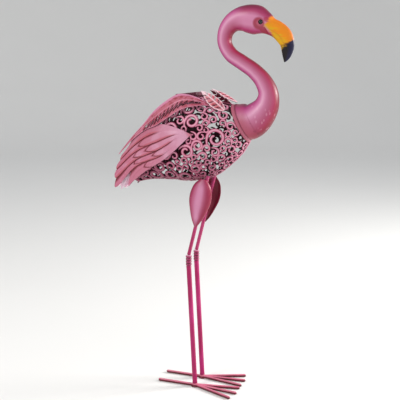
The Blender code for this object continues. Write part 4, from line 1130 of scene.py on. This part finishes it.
def leafMesh(name, root, tip, facing):
    # A leaf whose half width is a stretched half sine with a scalloped edge, bowed along its rib as
    # x(1 - x) and drooping as y squared, with slanted slits on both sides of the rib.
    root, tip, facing = (np.asarray(a, float) for a in (root, tip, facing))
    length = np.linalg.norm(tip - root)
    along = unit(tip - root)
    normal = unit(facing - (facing @ along) * along)
    side = np.cross(normal, along)
    x = np.linspace(0.2, length - 0.2, leaf["rows"])
    share = np.minimum((x / length + 0.06) / 1.07, 1)
    half = leaf["halfWidth"] * np.maximum(np.sin(math.pi * share ** 0.85), 0.05)
    half = half * (1 + 0.035 * np.cos(math.tau * x / length * (leaf["slits"] + 2)))
    x, v = np.meshgrid(x, np.linspace(-1, 1, leaf["columns"]), indexing="ij")
    y = v * half[:, None]
    field, barb = np.full(x.shape, -9.0), np.zeros(x.shape)
    first, last = leaf["slitFrom"], leaf["slitFrom"] + leaf["slitSpan"]
    for at in length * np.linspace(first, last, leaf["slits"]):
        room = float(np.interp(at, x[:, 0], half))
        start, lean = at + leaf["slitAt"][0], leaf["slitAt"][1]
        barbStart, barbLean = at + leaf["barbAt"][0], leaf["barbAt"][1]
        for hand in (-1, 1) if room >= leaf["leastHalf"] else ():
            near = hand * room * leaf["nearRib"]
            far, barbFar = hand * (room * leaf["slitEnd"] - 0.6), hand * room * leaf["barbEnd"]
            gap = slitDistance(x, y, start, near, start + lean, far)
            field = np.maximum(field, leaf["slitRadius"] - gap)
            bar = slitDistance(x, y, barbStart, near, barbStart + barbLean, barbFar)
            barb = np.maximum(barb, hump(bar, 1.1))
    rib, edge = hump(y, 1.5), hump(half[:, None] - np.abs(y), 1.9)
    bow = 4 * leaf["bow"] * (x / length) * (1 - x / length)
    bow = bow - leaf["droop"] * (y / leaf["halfWidth"]) ** 2
    flat = root + x[..., None] * along + y[..., None] * side
    outer = flat + (bow + 0.6 * rib + 0.5 * edge + 0.4 * barb - 0.6)[..., None] * normal
    inner = flat + (bow - bird["sheet"])[..., None] * normal
    return cutSheet(name, outer, inner, field, {
        "edge": np.maximum(edge, rib), "barb": barb, "slit": hump(np.clip(-field, 0, 9), 0.8),
        "tip": smoothStep(0.62, 0.95, x / length)})


def buildLeaves(material):
    mesh = leafMesh("backFeatherRight", *leaf["side"], (0.15, -0.85, 0.75))
    addPair("backFeather", mesh, material, "feather", "back_feather")
    mesh = leafMesh("backFeatherMiddle", *leaf["top"], (0, 0, 1))
    addPiece("backFeatherMiddle", mesh, material, "feather", "back_feather_middle")


def leafPaint():
    # painted highlight in pale pink on the rims, ribs and tips, over a red-brown wash
    paint = Paint("leafPaint", coat=0.15)
    rough = paint.noise(120.0, 4.0, 0.6)
    paint.tone = (0.40, 0.035, 0.055)
    paint.layer(paint.band(rough, 0.36, 0.64), (0.62, 0.18, 0.22))
    # edge, rib and tip get painted highlight
    for name, share, colour in (
            ("barb", 0.6, (0.74, 0.34, 0.40)), ("slit", 0.7, (0.13, 0.006, 0.014)),
            ("edge", 0.95, (0.88, 0.62, 0.68)), ("tip", 0.6, (0.92, 0.72, 0.77)),
            ("inner", 1.0, (0.10, 0.008, 0.020))):
        paint.layer(paint.attribute(name) * share, colour)
    return paint.finish(paint.noise(500.0, 3.0), 0.15, 0.0006, 0.28 + 0.18 * rough)


tailFan = {
    "blades": 5, "spread": 98.0, "columns": 60, "perBlade": 18,
    "end": 338.0, "sideShort": 14, "foldShort": 10,   # how much shorter side blades and folds are
    # at the body and at the end: half height, half width, height of the fan's ridge
    "halfHeight": (20, 23), "halfWidth": (17.5, 9.5), "ridge": (27, -6),
}


def buildTail(material):
    # A fan round the body line: each blade is one wave of sin squared, which draws its end out and
    # lifts its rib; the fan's ridge falls as the share of its length to the power 1.2.
    blades, spread = tailFan["blades"], math.radians(tailFan["spread"])
    number = np.linspace(0, 2 * blades, blades * tailFan["perBlade"] + 1)[:, None]
    turn = spread * (number / blades - 1)
    wave = np.sin(math.pi * number / 2) ** 2
    start, run = bird["end"] + 1.0, np.linspace(0, 1, tailFan["columns"])
    end = (tailFan["end"] - tailFan["sideShort"] * (np.abs(turn) / spread) ** 2
           - tailFan["foldShort"] * (1 - wave**0.6))
    s = start + (end - start) * run
    share = (s - start) / (tailFan["end"] - start)
    (high, highEnd), (wide, wideEnd), (ridge, ridgeEnd) = (
        tailFan[key] for key in ("halfHeight", "halfWidth", "ridge"))
    lift = 0.9 * wave + 0.35 * hump(wave - 1, 0.03) - 0.35

    def skin(out):
        halfHeight, halfWidth = high + (highEnd - high) * share, wide + (wideEnd - wide) * share
        n = ridge + (ridgeEnd - ridge) * share**1.2 - (halfHeight + out) * (1 - np.cos(turn))
        return bodyPoint(s, n, -(halfWidth + out) * np.sin(turn))

    mesh = sheetMesh(
        "tailFeathers", skin(lift), skin(lift - bird["sheet"]), {"rib": wave, "run": run})
    addPiece("tailFeathers", mesh, material, "tail", "tail_feathers")


def tailPaint():
    # pale lilac pink, near white towards the ends as painted sunlight, painted shade in the folds
    paint = Paint("tailPaint", coat=0.15)
    rough = paint.noise(90.0, 3.0, 0.6)
    paint.tone = (0.66, 0.30, 0.42)
    # painted sunlight: near white towards the blades' ends
    paint.layer(paint.band(paint.attribute("run") + 0.2 * rough, 0.1, 0.6), (0.97, 0.70, 0.83))
    # painted shade in the folds between the blades
    paint.layer((1 - paint.band(paint.attribute("rib"), 0.02, 0.25)) * 0.5, (0.40, 0.08, 0.16))
    paint.layer(paint.attribute("inner") * 0.25, (0.45, 0.14, 0.24))
    return paint.finish(paint.noise(500.0, 3.0), 0.12, 0.0006, 0.28 + 0.18 * rough)


buildLeaves(leafPaint())
buildTail(tailPaint())
print("feathers and tail built")


# Legs and feet

thigh = {
    "top": (25.5, 484.0), "tip": (5.5, 377.0), "depth": 15.0, "rows": 90, "columns": 48,
    # share of the way down, half width
    "stations": np.array([
        (0, 7), (0.10, 17), (0.27, 24), (0.45, 25), (0.68, 18.5), (0.87, 10.5), (1, 2.5)], float),
}


def buildThighs(material):
    # a dished teardrop: half width w(t) cos(a) forwards, depth times w to the power 0.8 times
    # sin(a) outwards
    top, tip = (np.array([x, 0, z], float) for x, z in (thigh["top"], thigh["tip"]))
    along = tip - top
    forward = unit((-along[2], 0, along[0]))
    t, a = np.meshgrid(np.linspace(0, 1, thigh["rows"]), np.linspace(0, math.pi, thigh["columns"]),
                       indexing="ij")
    half = hermite(t, thigh["stations"], 1)
    rim = bird["legSpacing"] / 2 + legs["rodRadius"] + bird["gap"] + bird["sheet"]
    bulge = (half / thigh["stations"][:, 1].max()) ** 0.8

    def shell(inset):
        place = top + t[..., None] * along + ((half - inset) * np.cos(a))[..., None] * forward
        place[..., 1] = -rim - (thigh["depth"] * bulge - inset) * np.sin(a)
        return place

    mesh = sheetMesh("thighRight", shell(0.0), shell(bird["sheet"]), {
        "over": np.sin(a), "run": t, "forward": (1 + np.cos(a)) / 2})
    addPair("thigh", mesh, material, "thigh", "thigh")


def thighPaint():
    # painted highlight in lilac pink down the middle; painted shade in crimson round the edge,
    # towards the front and at the ends, and in dark crimson inside
    paint = Paint("thighPaint", coat=0.12)
    paint.tone = paint.ramp(
        paint.attribute("over") + 0.10 * paint.noise(18.0, 3.0, 0.55) - 0.05,
        (0.0, (0.10, 0.001, 0.012)), (0.38, (0.22, 0.005, 0.036)), (0.70, (0.34, 0.030, 0.10)),
        (0.90, (0.45, 0.115, 0.22)), (1.0, (0.56, 0.225, 0.365)))
    # painted shade towards the front
    paint.layer(paint.band(paint.attribute("forward"), 0.58, 0.92) * 0.75, (0.26, 0.010, 0.045))
    # painted shade towards both ends
    ends = paint.band(abs(paint.attribute("run") - 0.48), 0.28, 0.50)
    paint.layer(ends * 0.7, (0.27, 0.014, 0.055))
    # painted shade: dark crimson inside
    paint.layer(paint.attribute("inner"), (0.21, 0.001, 0.028))
    return paint.finish(paint.noise(700.0), 0.10, 0.0005, 0.38 + 0.14 * paint.noise(120.0))


def legBar(name, start, end, radius, weldStart, weldEnd):
    # a round bar with rounded end edges and a low weld bead swelling out at its ends, short enough
    # to stay clear of level faces at both
    along = unit(end - start)
    gap = bird["gap"] + radius * math.hypot(along[0], along[1])
    length = np.linalg.norm(end - start) - 2 * gap
    steps = np.linspace(1.2, length - 1.2, 90)
    swell = weldStart * hump(steps - 1.8, 1.3) + weldEnd * hump(length - 1.8 - steps, 1.3)
    profile = roundedBar(radius, length, legs["rim"], np.column_stack([radius + swell, steps]))
    return makeMesh(name, *turned(profile, start + along * gap, along, 28))


def buildLegs(rodPaint, tubePaint, knucklePaint):
    foot, knee, kneeTop, hip = legPoints()
    mesh = legBar("upperRodRight", kneeTop, hip, legs["rodRadius"], 0.5, 0.0)
    addPair("upperRod", mesh, rodPaint, "rod", "upper_leg")
    ankle = foot + (0, 0, feet["ankle"])
    mesh = legBar("lowerTubeRight", ankle, knee, legs["tubeRadius"], 0.6, 0.5)
    addPair("lowerTube", mesh, tubePaint, "tube", "lower_leg")
    # knuckle: rounded ribs, each a half sine of height, between two flat collars
    length, sides = knuckle["length"], knuckle["sides"]
    height = np.linspace(0, length, knuckle["rows"])
    rib = np.abs(np.sin(math.pi * height / (length / knuckle["rings"]))) ** 0.8
    ends = smoothStep(0, 0.9, np.minimum(height, length - height))
    radius = knuckle["radius"] - knuckle["groove"] * (1 - rib) - 0.5 * (1 - ends)
    profile = np.vstack([[(0, 0)], np.column_stack([radius, height]), [(0, length)]])
    mesh = makeMesh("kneeKnuckleRight", *turned(profile, knee, (0, 0, 1), sides), {
        "rib": np.append(np.repeat(rib, sides), (0, 0)),
        "lip": np.append(np.repeat(hump(length - height, 1.0), sides), (0, 1))})
    addPair("kneeKnuckle", mesh, knucklePaint, "knuckle", "knee_knuckle")


def legPaint(name, light, mid, dark):
    # magenta crimson enamel, streaked along the leg
    paint = Paint(name, coat=0.15, coatRoughness=0.2, shine=0.28)
    paint.tone = mid
    paint.layer(paint.band(paint.noise(45.0, 3.0, 0.6, (1.0, 1.0, 0.25)), 0.40, 0.64), light)
    patches = paint.noise(25.0, 2.0, 0.5, (1.0, 1.0, 0.3))
    paint.layer(paint.band(patches, 0.55, 0.75) * 0.5, dark)
    return paint.finish(paint.noise(600.0), 0.10, 0.0004, 0.32 + 0.14 * paint.noise(150.0))


def knucklePaint():
    # painted shade: dark wine grooves; crimson ribs; painted highlight: pale upper lip
    paint = Paint("knucklePaint", coat=0.2, coatRoughness=0.2)
    # grooves dark as painted shade
    paint.tone = paint.ramp(
        paint.attribute("rib") + 0.2 * paint.noise(200.0) - 0.1,
        (0.0, (0.060, 0.001, 0.010)), (0.50, (0.17, 0.002, 0.030)), (0.85, (0.26, 0.008, 0.070)),
        (1.0, (0.38, 0.028, 0.13)))
    # painted highlight: pale pink upper lip
    paint.layer(paint.attribute("lip") * 0.9, (0.78, 0.38, 0.52))
    return paint.finish(paint.noise(600.0), 0.12, 0.0004, 0.26 + 0.14 * paint.noise(150.0))


feet = {
    "radius": 3.5, "length": 104.0, "backLength": 91.0,
    "out": math.radians(6), "splay": math.radians(16),
    "ankle": 8.0, "ankleRim": 0.8, "weldRadius": 8.6, "weldHeight": 4.2,
    # web between the toes' roots: reach, how far its edge dips, corners, height and thickness
    "web": 24.0, "webDip": 5.0, "webCorners": 15, "webAt": 1.2, "webThick": 2.4,
    "voxel": 0.0008,
}


def capsule(start, heading, length, radius):
    # a rod with a half ball at its far end: radius r cos(a) at height length - r + r sin(a)
    arc = quarter(8)
    far = np.column_stack([radius * np.cos(arc), length - radius + radius * np.sin(arc)])
    return turned(np.vstack([[(0, 0), (radius, 0)], far]), start, heading, 24)


def footWeb(centre):
    # a flat fan between the front toes' roots, with an edge that dips between them
    corners, spread = feet["webCorners"], feet["splay"]
    angle = np.linspace(feet["out"] - spread, feet["out"] + spread, corners)
    rim = feet["web"] - feet["webDip"] * np.abs(np.sin(np.linspace(0, math.tau, corners)))
    edge = np.column_stack([rim * np.cos(angle), -rim * np.sin(angle), np.zeros(corners)])
    low = np.vstack([[(-3, 0, 0)], edge]) + centre + (0, 0, feet["webAt"])
    around = np.arange(len(low))
    after = (around + 1) % len(low)
    faces = [around[::-1].tolist(), (around + len(low)).tolist()]
    faces += np.column_stack([around, after, after + len(low), around + len(low)]).tolist()
    return np.vstack([low, low + (0, 0, feet["webThick"])]), faces


def buildFeet(material):
    # toe rods, ankle plug and web run into one skin by a voxel remesh, then smoothed like a weld
    centre, radius, up = legPoints()[0], feet["radius"], (0, 0, 1)
    toes = [(feet["out"] + k * feet["splay"], feet["length"]) for k in (-1, 0, 1)]
    parts = []
    for angle, length in [*toes, (math.pi, feet["backLength"])]:
        heading = (math.cos(angle), -math.sin(angle), 0)
        parts.append(capsule(centre + (0, 0, radius), heading, length, radius))
    plug = roundedBar(legs["tubeRadius"] + feet["ankleRim"], feet["ankle"], 1.0)
    parts.append(turned(plug, centre, up))
    arc = quarter(8)
    dome = [feet["weldRadius"] * np.cos(arc) + 0.001, feet["weldHeight"] * np.sin(arc)]
    weld = np.vstack([[(0, 0)], np.column_stack(dome), [(0, feet["weldHeight"])]])
    parts.append(turned(weld, centre, up))
    parts.append(footWeb(centre))
    mesh = makeMesh("footRight", *joinParts(parts))
    copy = mirrorMesh("footLeft", mesh)
    for name, side, partMesh in (("footRight", "right", mesh), ("footLeft", "left", copy)):
        piece = addPiece(name, partMesh, material, "foot", "foot_" + side)
        skin = piece.modifiers.new("weld", "REMESH")
        skin.mode, skin.voxel_size, skin.use_smooth_shade = "VOXEL", feet["voxel"], True
        soft = piece.modifiers.new("soften", "SMOOTH")
        soft.factor, soft.iterations = 0.5, 3


def footPaint():
    # crimson, with a painted highlight in pink along the tops of the toes
    paint = Paint("footPaint", coat=0.15)
    rough = paint.noise(80.0, 4.0, 0.6)
    paint.tone = (0.11, 0.001, 0.010)
    paint.layer(paint.band(rough, 0.42, 0.62) * 0.5, (0.19, 0.004, 0.026))
    # painted highlight on the tops of the toes
    top = paint.band(paint.axis(2) + 0.0012 * rough, 0.0050, 0.0070)
    paint.layer(top * 0.8, (0.74, 0.19, 0.30))
    return paint.finish(paint.noise(400.0, 3.0), 0.18, 0.0006, 0.28 + 0.18 * rough)


buildThighs(thighPaint())
buildLegs(
    legPaint("rodPaint", (0.42, 0.042, 0.145), (0.34, 0.014, 0.090), (0.20, 0.002, 0.035)),
    legPaint("tubePaint", (0.42, 0.014, 0.14), (0.33, 0.004, 0.080), (0.17, 0.001, 0.030)),
    knucklePaint())
buildFeet(footPaint())
print("legs and feet built")


# Solar lamp

def lampSeat():
    # the lamp's own frame: origin on the back, z square to the skin there, x along the body
    step = 1e-3
    point = bodySkin(lamp["s"], math.pi)
    slope = (bodySkin(lamp["s"] + step, math.pi) - point) / step
    angle = -math.atan2(-slope[2], -slope[0])
    c, s = math.cos(angle), math.sin(angle)
    return point + (0, 0, 2 * bird["gap"]), np.array([(c, 0, s), (0, 1, 0), (-s, 0, c)])


def roundedLoop(half, corner, height, sides=64):
    # a square with rounded corners: a superellipse whose power follows the corner's size
    angle = circle(sides) + math.tau / sides / 2
    power = 2 + 2.2 * (half / corner) ** 0.8
    c, s = np.cos(angle), np.sin(angle)
    r = (np.abs(c) ** power + np.abs(s) ** power) ** (-1 / power)
    return np.column_stack([half * r * c, half * r * s, np.full(sides, height)])


def loftLoops(loops):
    # closed loops joined one to the next, with the first and last closed by a pole
    loops = np.asarray(loops)
    points = np.vstack([loops.reshape(-1, 3), loops[0].mean(axis=0), loops[-1].mean(axis=0)])
    return points, tubeFaces(*loops.shape[:2])


def buildLamp(housingPaint, cellPaint, lensPaint):
    seat, turn = lampSeat()
    half, depth = lamp["side"] / 2, lamp["depth"]
    corner, inCorner = lamp["corner"], lamp["inCorner"]
    inside, floor = half - lamp["wall"], depth - lamp["cell"] - bird["gap"]
    up, low = (0, 0, 1), -lamp["stub"]

    def seated(name, points, faces, attributes=None):
        return makeMesh(name, points @ turn.T + seat, faces, attributes)

    # loops up the outside, over the rounded top edge and down to the floor of the cell's recess
    arc = [(math.sin(a), math.cos(a)) for a in quarter(5)]
    foot, top, lip = lamp["rims"]
    loops = [roundedLoop(half - foot + foot * s, corner, foot - foot * c) for s, c in arc]
    loops += [roundedLoop(half - top + top * c, corner, depth - top + top * s) for s, c in arc]
    loops += [roundedLoop(inside + lip - lip * s, inCorner, depth - lip + lip * c) for s, c in arc]
    case = loftLoops([*loops, roundedLoop(inside, inCorner, floor)])
    bar = roundedBar(lamp["stubRadius"], lamp["stub"] + lamp["stubIn"], 0.8)
    mesh = seated("solarHousing", *joinParts([case, turned(bar, (0, 0, low), up, 48)]))
    addPiece("solarHousing", mesh, housingPaint, "housing", "solar_housing")
    cellHalf, cellTop = inside - bird["gap"], depth - lamp["cellSunk"]
    cell = ((0.3, floor + 0.3), (0, floor + 0.6), (0, cellTop - 0.4), (0.4, cellTop))
    points, faces = loftLoops([
        roundedLoop(cellHalf - inset, lamp["cellCorner"], height) for inset, height in cell])
    flat = points / cellHalf * 0.5 + 0.5
    mesh = seated("solarCell", points, faces, {"cellX": flat[:, 0], "cellY": flat[:, 1]})
    addPiece("solarCell", mesh, cellPaint, "cell", "solar_panel")
    radius, arc = lamp["stubRadius"] - lamp["lensRim"], quarter(12)
    dome = np.vstack([np.column_stack([radius * np.sin(arc), -radius * np.cos(arc)]), [(0, 0)]])
    mesh = seated("lampLens", *turned(dome, (0, 0, low - bird["gap"]), up, 40))
    addPiece("lampLens", mesh, lensPaint, "lens", "lamp_lens")


def housingPaint():
    # dark wine plastic with a fine grain
    paint = Paint("housingPlastic")
    grain = paint.noise(1400.0)
    paint.tone = (0.070, 0.007, 0.020)
    paint.layer(paint.noise(120.0, 3.0), (0.115, 0.014, 0.036))
    return paint.finish(grain, 0.2, 0.0003, 0.42 + 0.16 * grain)


def cellPaint():
    # dark blue crystal strips between fine silver lines, under clear resin
    paint = Paint("cellResin", roughness=0.18, coat=1.0, coatRoughness=0.04)
    paint.tone = (0.006, 0.010, 0.040)
    paint.layer(paint.cells(420.0), (0.016, 0.030, 0.105))
    for name, count, width, share, colour in (
            ("cellX", 4.0, 0.018, 0.9, (0.45, 0.47, 0.50)),
            ("cellY", 22.0, 0.05, 0.35, (0.35, 0.38, 0.44))):
        wave = (paint.attribute(name) * count).math("FRACT")
        paint.layer((1 - paint.band(abs(wave - 0.5), width, width * 1.8)) * share, colour)
    return paint.finish(paint.noise(60.0, 1.0), 0.03, 0.0004)


def lensPaint():
    # frosted clear plastic, seen as pale grey
    paint = Paint("lensPlastic", roughness=0.25, coat=0.8, coatRoughness=0.06)
    paint.tone = (0.70, 0.73, 0.75)
    paint.layer(paint.noise(200.0), (0.85, 0.87, 0.88))
    return paint.finish(paint.noise(900.0, 1.0), 0.08, 0.0003)


buildLamp(housingPaint(), cellPaint(), lensPaint())
print("lamp built")


# Floor, light and camera

studio = {
    "innerRadius": 0.4, "floorRadius": 5.0, "wallRadius": 7.5, "wallHeight": 3.0,
    "sides": 72, "rings": 10,
    "floorColour": (0.80, 0.79, 0.77), "floorShade": (0.74, 0.73, 0.71),
    "sky": (0.93, 0.96, 1.0), "skyStrength": 0.66,
    # name, place, size, watts, colour
    "lamps": [("keyLight", (-1.5, -2.2, 2.5), 1.3, 50.0, (1.0, 0.97, 0.93)),
              ("fillLight", (2.4, -1.9, 1.4), 1.8, 13.0, (0.95, 0.97, 1.0)),
              ("sideLight", (2.1, 1.1, 1.3), 0.9, 80.0, (1.0, 0.99, 0.97))],
    "aim": (0.0, 0.0, 0.48),
}
photoView = {
    "place": (0.5331, -1.4849, 0.7160), "azimuth": 19.82, "down": 10.2,
    "lens": 64.7, "sensor": 36.0,
}


def linked(name, data):
    # a new object in the scene, for the camera, a light or the floor
    made = bpy.data.objects.new(name, data)
    bpy.context.scene.collection.objects.link(made)
    return made


def buildFloor():
    # floor and wall in one sweep: a profile that is flat, then a quarter ellipse, turned round z
    near, far, sides = studio["floorRadius"], studio["wallRadius"], studio["sides"]
    bend = quarter(14)[1:]
    flat = np.linspace(studio["innerRadius"], near, studio["rings"])
    radius = np.concatenate([flat, near + (far - near) * np.sin(bend)])
    height = np.concatenate([0 * flat, studio["wallHeight"] * (1 - np.cos(bend))])
    radius, height, angle = radius[:, None], height[:, None] * np.ones(sides), circle(sides)
    points = np.stack([radius * np.cos(angle), radius * np.sin(angle), height], axis=-1)
    points = np.vstack([points.reshape(-1, 3), [(0, 0, 0)]])
    mesh = bpy.data.meshes.new("studioFloor")
    mesh.from_pydata(points.tolist(), [], tubeFaces(len(radius), sides, poles=1))
    mesh.shade_smooth()
    floor = linked("studioFloor", mesh)
    paint = Paint("floorPaint", roughness=0.75)
    paint.set("Base Color", paint.mix(
        paint.noise(3.0, 3.0) * 0.3, studio["floorColour"], studio["floorShade"]))
    mesh.materials.append(paint.material)


def buildLights():
    world = bpy.data.worlds.new("studioSky")
    world.use_nodes = True
    sky = world.node_tree.nodes["Background"]
    sky.inputs["Color"].default_value = (*studio["sky"], 1)
    sky.inputs["Strength"].default_value = studio["skyStrength"]
    bpy.context.scene.world = world
    for name, place, size, power, colour in studio["lamps"]:
        light = bpy.data.lights.new(name, "AREA")
        light.shape, light.size, light.energy, light.color = "DISK", size, power, colour
        lampObject = linked(name, light)
        lampObject.location = place
        aim = Vector(studio["aim"]) - Vector(place)
        lampObject.rotation_euler = aim.to_track_quat("-Z", "Y").to_euler()
    bpy.context.scene.view_settings.view_transform = "Standard"


def buildCamera():
    # looks back along the photo's azimuth, and down
    a, p = math.radians(photoView["azimuth"]), math.radians(photoView["down"])
    forward = Vector((-math.sin(a) * math.cos(p), math.cos(a) * math.cos(p), -math.sin(p)))
    camera = bpy.data.cameras.new("photoCamera")
    camera.lens, camera.sensor_width = photoView["lens"], photoView["sensor"]
    view = linked("photoCamera", camera)
    view.location = photoView["place"]
    view.rotation_euler = forward.to_track_quat("-Z", "Y").to_euler()
    bpy.context.scene.camera = view


buildFloor()
buildLights()
buildCamera()
print("studio built")
